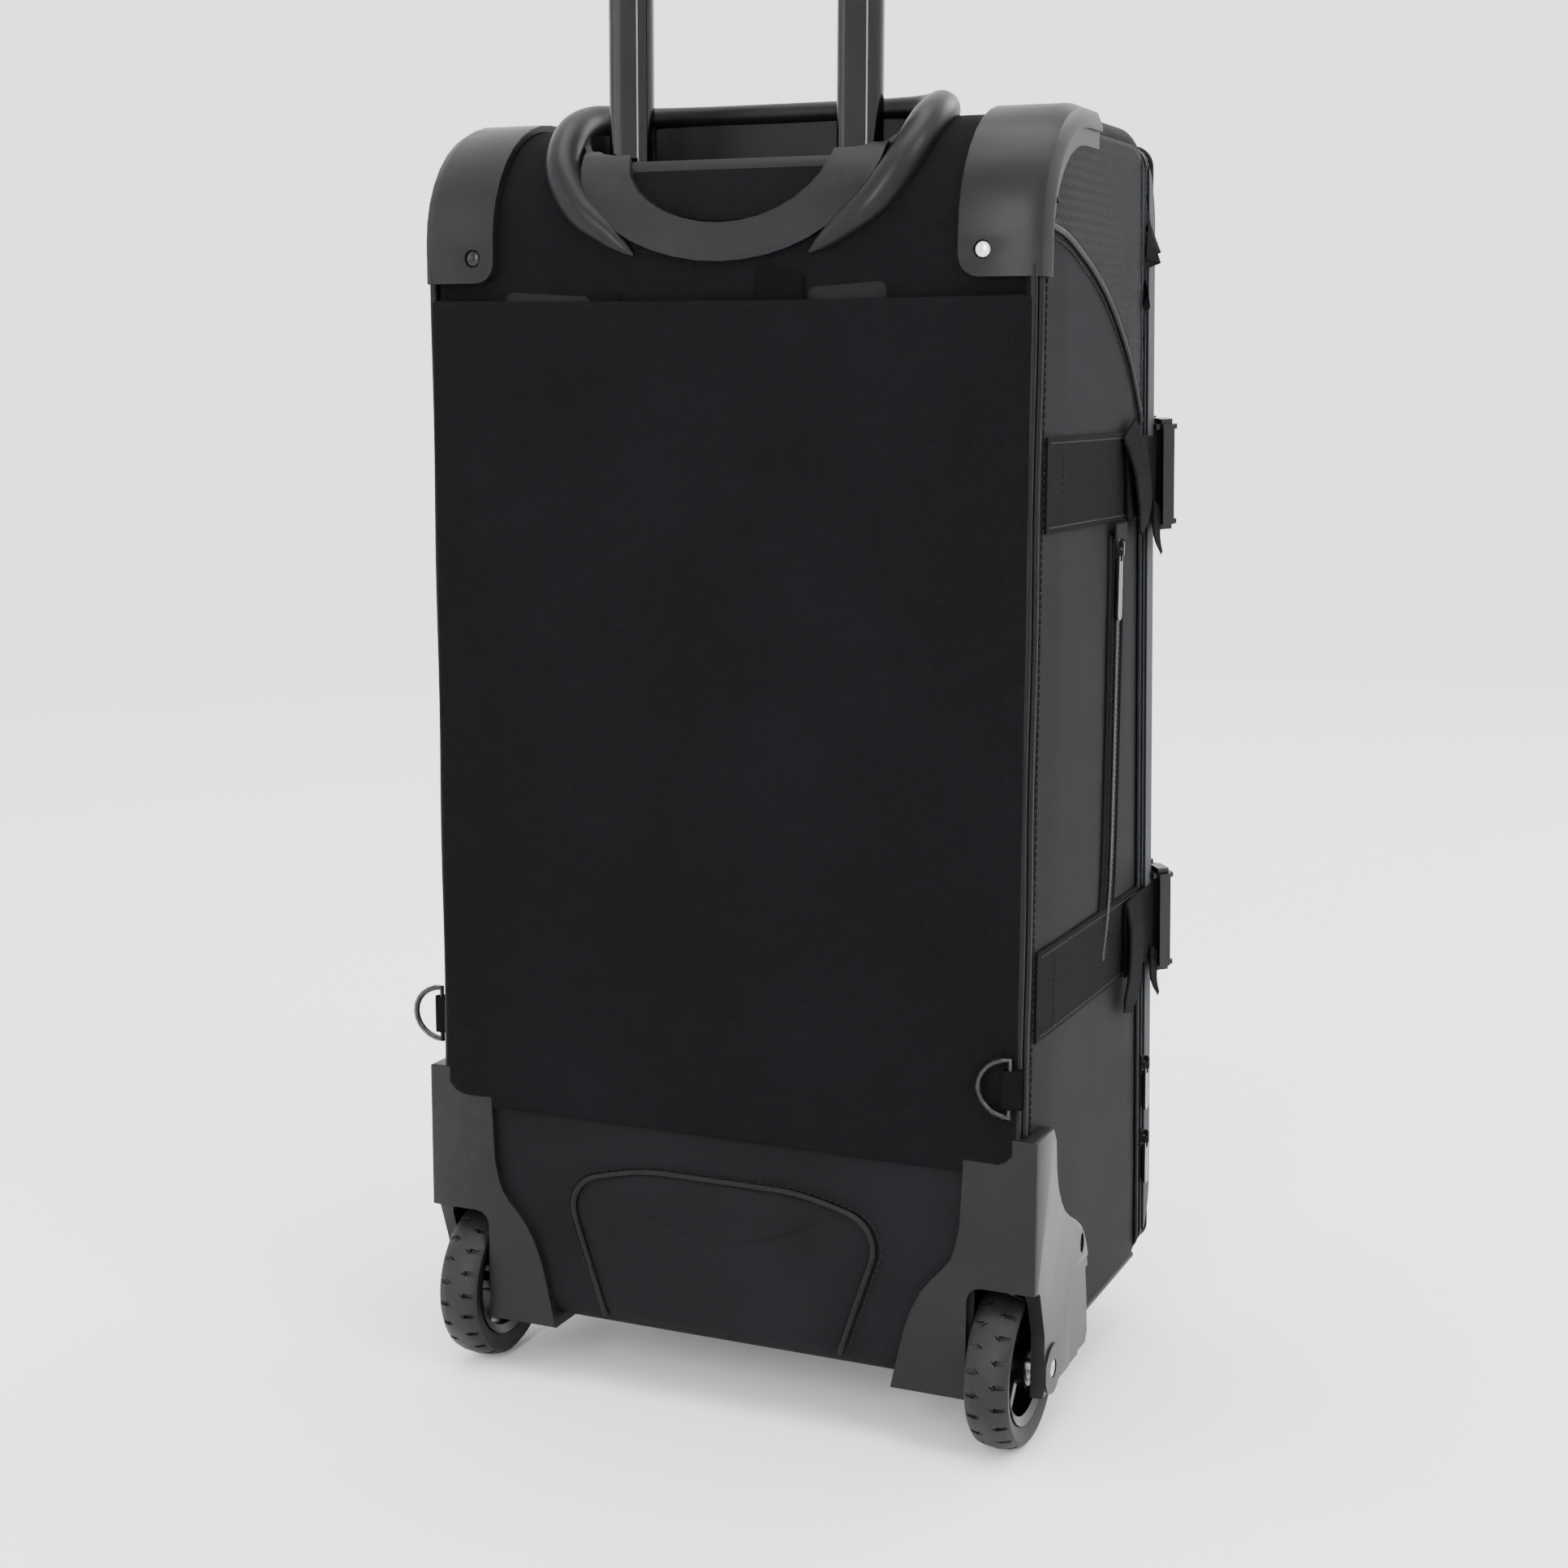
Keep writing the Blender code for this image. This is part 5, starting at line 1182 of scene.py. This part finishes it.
def side_panels():
    """Ribbed mesh with its piping on the upper front of each side, and the side zip on the right."""
    line = spaced(spline(MESH_CURVE, 10), 0.003)
    for side, sign in SIDES.items():
        y = REAR - np.linspace(0.0100, 0.1835, 90)
        curve = np.interp(REAR - y, line[:, 0], line[:, 1])
        front = np.interp(y, seam_line(np.linspace(0.5, 0.7, 40)), np.linspace(0.5, 0.7, 40), left=0.5,
                          right=0.75)
        upper = np.minimum(top_of_side(y) - 0.0015, front - 0.004)
        upper = np.maximum(upper, curve + 0.0004)
        share = np.linspace(0, 1, 40)[:, None]
        z = curve[None] + (upper - curve)[None] * share
        yy = np.broadcast_to(y, z.shape)
        ribs = 0.00028 * np.sin(z * 2 * math.pi / 0.0052)
        rim = smoothstep(0, 0.05, share) * smoothstep(1, 0.95, share)
        points = side_point(yy, z, sign, 0.0)
        points[..., 0] += sign * (0.0004 + 0.0005 * rim + ribs * rim)
        panel = piece(f"side_mesh_{side}", [patch(points)], ["mesh"], "case", closed=False,
                      toward=(sign, 0, 0))
        with_wall(panel, 0.0008, 1.0)
        cord = side_point(REAR - line[:, 0], line[:, 1], sign, 0.0008)
        cord_piece(f"side_mesh_piping_{side}", [cord], 0.0017, (sign, 0, 0), "case")
        row = side_point(REAR - line[3:-3, 0], line[3:-3, 1] - 0.0052, sign, 0.0004)
        piece(f"side_mesh_stitches_{side}", [thread(row, (sign, 0, 0))], ["thread"], "case")
        y_low = np.linspace(REAR - 0.105, float(seam_line(np.array(BOTTOM + 0.02))) + 0.012, 50)
        low_line = side_point(y_low, np.full(50, BOTTOM + 0.006), sign, -0.0012)
        cord_piece(f"bottom_piping_{side}", [low_line], 0.0020, (sign, 0, 0), "case")
    knots = [(0.1379, 0.494), (0.1385, 0.44), (0.1385, 0.36), (0.1378, 0.30), (0.1350, 0.272),
             (0.1290, 0.252)]
    track = side_knots(-1, knots, 0.0010)
    zip_track("side_zip", track, (-1, 0, 0), "case", tape=0.018)
    border = [side_knots(-1, [(d + s, z) for d, z in knots], 0.0006) for s in (-0.0125, 0.0125)]
    cord_piece("side_zip_welts", border, 0.0012, (-1, 0, 0), "case", "coated")
    garage = side_point(REAR - 0.138 + 0.0 * np.linspace(0, 1, 8), np.linspace(0.4915, 0.5000, 8), -1,
                        0.0034)
    piece("side_zip_garage", carried(garage, band_profile(0.022, 0.0012), (-1, 0, 0)), ["coated"], "case")


def insert_cloth():
    """The piece of twill framed by the surround's U band."""
    low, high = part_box("surround_insert")
    across, down = np.meshgrid(np.linspace(-1, 1, 60), np.linspace(0, 1, 24))
    depth = np.sqrt(np.maximum(1 - across ** 2, 0)) * (high.z - low.z)
    x = across * (high.x - 0.0004)
    z = high.z - depth * down
    y = rear_edge(z) + 0.0008 - 0.0006 * down
    cloth = piece("insert_cloth", [patch(np.stack([x, y, z], -1))], ["twill"], "case", "surround_insert",
                  closed=False, toward=(0, 1, 0))
    return with_wall(cloth, 0.0010, -1.0)


# half of the roll round the recess: x, distance from the rear plane, height, radius
ROLL = [(0.000, -0.0795, 0.7230, 0.0056), (0.070, -0.0795, 0.7230, 0.0060),
        (0.093, -0.0720, 0.7215, 0.0084),
        (0.103, -0.0520, 0.7180, 0.0104), (0.104, -0.0300, 0.7090, 0.0106),
        (0.0995, -0.0120, 0.6905, 0.0104),
        (0.086, -0.0030, 0.6700, 0.0095), (0.068, -0.0005, 0.6560, 0.0070), (0.057, 0.0010, 0.6480, 0.0038),
        (0.051, 0.0012, 0.6440, 0.0008)]


def surround_roll():
    """The thick roll round three sides of the recess, tapering under the U band, and the flat far wall."""
    half = np.array(ROLL)
    knots = np.concatenate([half[:0:-1] * (-1, 1, 1, 1), half])
    line = spline(knots, 10)
    path = line[:, :3] + (0, REAR, 0)
    piece("surround_roll", carried(path, round_profile(1.0, 24), (0, 0.96, 0.29), scale=line[:, 3]),
          ["plastic"], "case")
    x, z = np.meshgrid(np.linspace(-0.078, 0.078, 60), np.linspace(CUP_FLOOR + 0.004, RIM_Z + 0.001, 30))
    ends = 0.0012 * smoothstep(0.060, 0.078, np.abs(x))
    y = REAR - 0.0779 + ends + 0.0006 * smoothstep(RIM_Z - 0.006, RIM_Z, z)
    wall = piece("recess_wall", [patch(np.stack([x, y, z], -1))], ["plastic"], "case",
                 closed=False, toward=(0, 1, 0))
    with_wall(wall, 0.0010, -1.0)


def rivets():
    """A domed rivet in each top guard: bright on the right, black on the left."""
    for side, sign in SIDES.items():
        turn = np.linspace(0.0, math.pi / 2, 9)
        radius = 0.0046 * np.sin(turn)
        height = 0.0019 * np.cos(turn)
        angle = np.linspace(0, 2 * math.pi, 40, endpoint=False)
        cx, cz = sign * 0.1475, 0.6435
        points = np.stack(np.broadcast_arrays(cx + radius[:, None] * np.cos(angle),
                                              REAR + 0.0050 + height[:, None],
                                              cz + radius[:, None] * np.sin(angle)), -1)
        foot = np.stack([cx + 0.0046 * np.cos(angle), np.full(40, REAR + 0.0030),
                         cz + 0.0046 * np.sin(angle)], -1)
        points = np.concatenate([points[::-1], points[:0]])
        shell = [patch(np.concatenate([foot[None], points]), False, True), fan(foot)]
        piece(f"rivet_{side}", shell, ["gloss" if sign > 0 else "steel"], "case")


# ---------------------------------------------------------------- hard parts


# frame nodes kept as they are apart from merged corners, softened edges and their finish:
# nodes, finish, slot, bevel width, sharp angle
HARD = (
    (("handle_surround",), "plastic", "moulded_plastic", 0.0, 50),
    (("top_guard_left", "top_guard_right"), "plastic", "moulded_plastic", 0.0006, 38),
    (("wheel_housing_left", "wheel_housing_right"), "plastic", "moulded_plastic", 0.0006, 38),
    (("front_foot_left", "front_foot_right", "handle_base"), "plastic", "moulded_plastic", 0.0005, 38),
    (("buckle_socket_upper", "buckle_socket_lower", "buckle_prong_upper", "buckle_prong_lower"), "gloss",
     "gloss_plastic", 0.0005, 35),
    (("handle_grip", "release_button"), "gloss", "gloss_plastic", 0.0007, 38),
    (("fixed_tube_left", "fixed_tube_right", "stage1_tube_left", "stage1_tube_right", "stage2_tube_left",
      "stage2_tube_right"), "tube", "black_tube", 0.0002, 50),
    (("tyre_left", "tyre_right"), "rubber", "tyre_rubber", 0.0003, 42),
    (("wheel_rim_left", "wheel_rim_right"), "gloss", "gloss_plastic", 0.0004, 40),
    (("axle_bolt_left", "axle_bolt_right", "bearing_inner_left", "bearing_inner_right",
      "bearing_outer_left",
      "bearing_outer_right", "release_rod_left", "release_rod_right"), "steel", "bright_steel", 0.0002, 35),
    (("d_ring_left", "d_ring_right", "frame_wire"), "wire", "black_wire", 0.0, 60),
    (("side_zip_slider", "side_zip_pull", "main_zip_upper_slider", "main_zip_upper_pull",
      "main_zip_lower_slider",
      "main_zip_lower_pull"), "wire", "black_wire", 0.0003, 40),
    (("back_board",), "board", "board", 0.0003, 40),
)


def hard_parts(first, last):
    """Finishes the frame nodes of some rows of HARD."""
    for nodes, finish_name, slot, bevel, sharp in HARD[first:last]:
        for node in nodes:
            refined(node, finish_name, bevel, sharp)


# ---------------------------------------------------------------- stage and camera


def flat_finish(name, colour, roughness):
    """An even, dull finish for the stage."""
    material = bpy.data.materials.new(name)
    material.use_nodes = True
    shader = material.node_tree.nodes["Principled BSDF"]
    shader.inputs["Base Color"].default_value = (*colour, 1)
    shader.inputs["Roughness"].default_value = roughness
    shader.inputs["Specular IOR Level"].default_value = 0.25
    return material


def studio_floor(colour):
    """A pale floor that turns up into a wall all round: a profile (radius, height) turned about Z."""
    turn = np.linspace(0, math.pi / 2, 16)
    profile = np.concatenate([[(0.0, 0.0), (1.5, 0.0), (3.0, 0.0)],
                              np.stack([3.6 + 2.2 * np.sin(turn), 2.2 - 2.2 * np.cos(turn)], 1),
                              [(5.8, 7.0)]])
    angle = np.linspace(0, 2 * math.pi, 96, endpoint=False)
    points = np.stack(np.broadcast_arrays(profile[:, :1] * np.cos(angle), profile[:, :1] * np.sin(angle),
                                          profile[:, 1:] - 0.0004), -1)
    made = patch(points[1:], False, True, flip=True)
    mesh = bpy.data.meshes.new("studio_floor")
    mesh.from_pydata(made["points"].tolist(), [], made["faces"].tolist() + [list(range(96))])
    mesh.update()
    mesh.polygons.foreach_set("use_smooth", np.ones(len(mesh.polygons), bool))
    mesh.materials.append(flat_finish("studio_paper", colour, 0.85))
    floor = bpy.data.objects.new("studio_floor", mesh)
    bpy.context.scene.collection.objects.link(floor)
    return floor


def soft_light(name, place, target, size, power, colour=(1.0, 1.0, 1.0)):
    """A rectangular lamp looking at a point."""
    lamp = bpy.data.lights.new(name, "AREA")
    lamp.shape = "RECTANGLE"
    lamp.size, lamp.size_y = size
    lamp.energy = power
    lamp.color = colour
    made = bpy.data.objects.new(name, lamp)
    made.location = place
    made.rotation_euler = (Vector(target) - Vector(place)).to_track_quat("-Z", "Y").to_euler()
    bpy.context.scene.collection.objects.link(made)
    return made


# place, target, size, watts
LIGHTS = {
    "key": ((-2.4, 1.0, 2.6), (-0.05, 0.0, 0.40), (1.4, 1.4), 30.0),
    "fill": ((2.6, 2.6, 1.6), (0.0, 0.1, 0.40), (1.6, 2.0), 12.0),
    "strip": ((-0.10, 3.3, 1.5), (0.0, 0.1, 0.80), (0.45, 2.0), 45.0),
    "rim": ((-1.2, -2.6, 2.4), (0.0, 0.0, 0.45), (1.4, 1.2), 26.0),
    "top": ((0.0, 0.3, 3.8), (0.0, 0.0, 0.30), (2.4, 2.4), 60.0),
}


def camera(settings):
    """The view from behind and a little above, towards the right side."""
    data = bpy.data.cameras.new("view")
    data.lens = settings.lens
    data.sensor_width = 36.0
    data.dof.use_dof = False
    made = bpy.data.objects.new("view", data)
    yaw, pitch, roll = settings.yaw, settings.pitch, settings.roll
    ahead = Vector((math.sin(yaw) * math.cos(pitch), -math.cos(yaw) * math.cos(pitch), -math.sin(pitch)))
    made.rotation_mode = "QUATERNION"
    turn = ahead.to_track_quat("-Z", "Y")
    made.rotation_quaternion = turn @ Matrix.Rotation(roll, 4, "Z").to_quaternion()
    made.location = settings.place
    bpy.context.scene.collection.objects.link(made)
    bpy.context.scene.camera = made
    return made


def studio(settings):
    """Even light, floor, lamps and camera."""
    world = bpy.data.worlds.new("studio")
    world.use_nodes = True
    shade = world.node_tree.nodes["Background"]
    shade.inputs["Color"].default_value = (0.93, 0.94, 0.96, 1)
    shade.inputs["Strength"].default_value = settings.ambient
    bpy.context.scene.world = world
    studio_floor(tuple(settings.floor_colour))
    for name, (place, target, size, power) in LIGHTS.items():
        soft_light(f"light_{name}", place, target, size, power * settings.light)
    camera(settings)


# ---------------------------------------------------------------- the add-on


class SuitcaseStage(PropertyGroup):
    """Camera and light."""
    place: FloatVectorProperty(name="Camera place", description="Where the camera stands",
                               subtype="TRANSLATION",
                               unit="LENGTH", default=(-0.56355, 1.32835, 0.57924))
    yaw: FloatProperty(name="Yaw", description="Turn from looking along -Y towards +X", subtype="ANGLE",
                       default=0.41308)
    pitch: FloatProperty(name="Pitch", description="How far the camera looks down", subtype="ANGLE",
                         default=0.16304)
    roll: FloatProperty(name="Roll", description="Turn about the view axis", subtype="ANGLE",
                        default=0.00306)
    lens: FloatProperty(name="Lens", description="Focal length in millimetres on a 36 mm sensor",
                        default=56.59)
    ambient: FloatProperty(name="Ambient", description="Strength of the even light", default=2.5, min=0.0)
    light: FloatProperty(name="Lamps", description="Scale of every lamp's power", default=1.7, min=0.0)
    floor_colour: FloatVectorProperty(name="Floor", description="Colour of the floor", subtype="COLOR",
                                      default=(0.94, 0.94, 0.945))


class BuildStep(Operator):
    """Shared behaviour of the build steps: run the step's functions and stop on any error."""
    bl_options = {"REGISTER", "UNDO"}
    steps = ()

    def execute(self, context):
        for step in self.steps:
            step()
        return {"FINISHED"}


class SUITCASE_OT_body(BuildStep):
    """Builds the case's soft body."""
    bl_idname = "suitcase.body"
    bl_label = "Body"
    steps = (case_body, side_panels)


class SUITCASE_OT_lid(BuildStep):
    """Builds the lid with its pocket."""
    bl_idname = "suitcase.lid"
    bl_label = "Lid and pocket"
    steps = (lid_body, front_pocket, hinge_and_main_zip)


class SUITCASE_OT_rear(BuildStep):
    """Builds the rear sleeve, lower panel, grab pad, piping and the stowed straps."""
    bl_idname = "suitcase.rear"
    bl_label = "Rear face"
    steps = (rear_sleeve, lower_panel, grab_pad, edge_piping, stowed_straps, insert_cloth)


class SUITCASE_OT_straps(BuildStep):
    """Builds the webbing: side and front straps, tails, carry handle and ring tabs."""
    bl_idname = "suitcase.straps"
    bl_label = "Straps and handle"
    steps = (side_straps, front_straps, strap_tails, carry_handle, ring_tabs)


class SUITCASE_OT_shells(BuildStep):
    """Finishes the moulded surround, guards, housings, feet and buckles."""
    bl_idname = "suitcase.shells"
    bl_label = "Moulded parts"
    steps = (lambda: hard_parts(0, 5), surround_roll, rivets)


class SUITCASE_OT_handle(BuildStep):
    """Finishes the telescopic handle."""
    bl_idname = "suitcase.handle"
    bl_label = "Telescopic handle"
    steps = (lambda: hard_parts(5, 7),)


class SUITCASE_OT_wheels(BuildStep):
    """Finishes the wheels, axles, rings, zip sliders, wire frame and board."""
    bl_idname = "suitcase.wheels"
    bl_label = "Wheels and metalwork"
    steps = (lambda: hard_parts(7, len(HARD)),)


class SUITCASE_OT_stage(Operator):
    """Sets the floor, the lights and the camera."""
    bl_idname = "suitcase.stage"
    bl_label = "Stage"

    def execute(self, context):
        studio(context.scene.suitcase_stage)
        return {"FINISHED"}


STEPS = (SUITCASE_OT_body, SUITCASE_OT_lid, SUITCASE_OT_rear, SUITCASE_OT_straps, SUITCASE_OT_shells,
         SUITCASE_OT_handle, SUITCASE_OT_wheels, SUITCASE_OT_stage)


class SUITCASE_PT_sidebar(Panel):
    """Lists the build steps in the 3D view's sidebar."""
    bl_idname = "SUITCASE_PT_sidebar"
    bl_label = "Suitcase"
    bl_space_type = "VIEW_3D"
    bl_region_type = "UI"
    bl_category = "Suitcase"

    def draw(self, context):
        for step in STEPS:
            self.layout.operator(step.bl_idname)
        settings = context.scene.suitcase_stage
        for name in ("place", "yaw", "pitch", "roll", "lens", "ambient", "light", "floor_colour"):
            self.layout.prop(settings, name)


CLASSES = (SuitcaseStage, *STEPS, SUITCASE_PT_sidebar)


def register():
    for kind in CLASSES:
        bpy.utils.register_class(kind)
    bpy.types.Scene.suitcase_stage = PointerProperty(type=SuitcaseStage)


def unregister():
    del bpy.types.Scene.suitcase_stage
    for kind in reversed(CLASSES):
        bpy.utils.unregister_class(kind)


def main():
    """Builds everything in order."""
    register()
    for step in STEPS:
        group, action = step.bl_idname.split(".")
        done = getattr(getattr(bpy.ops, group), action)()
        if done != {"FINISHED"}:
            raise RuntimeError(f"{step.bl_label} didn't finish")


if __name__ == "__main__":
    main()
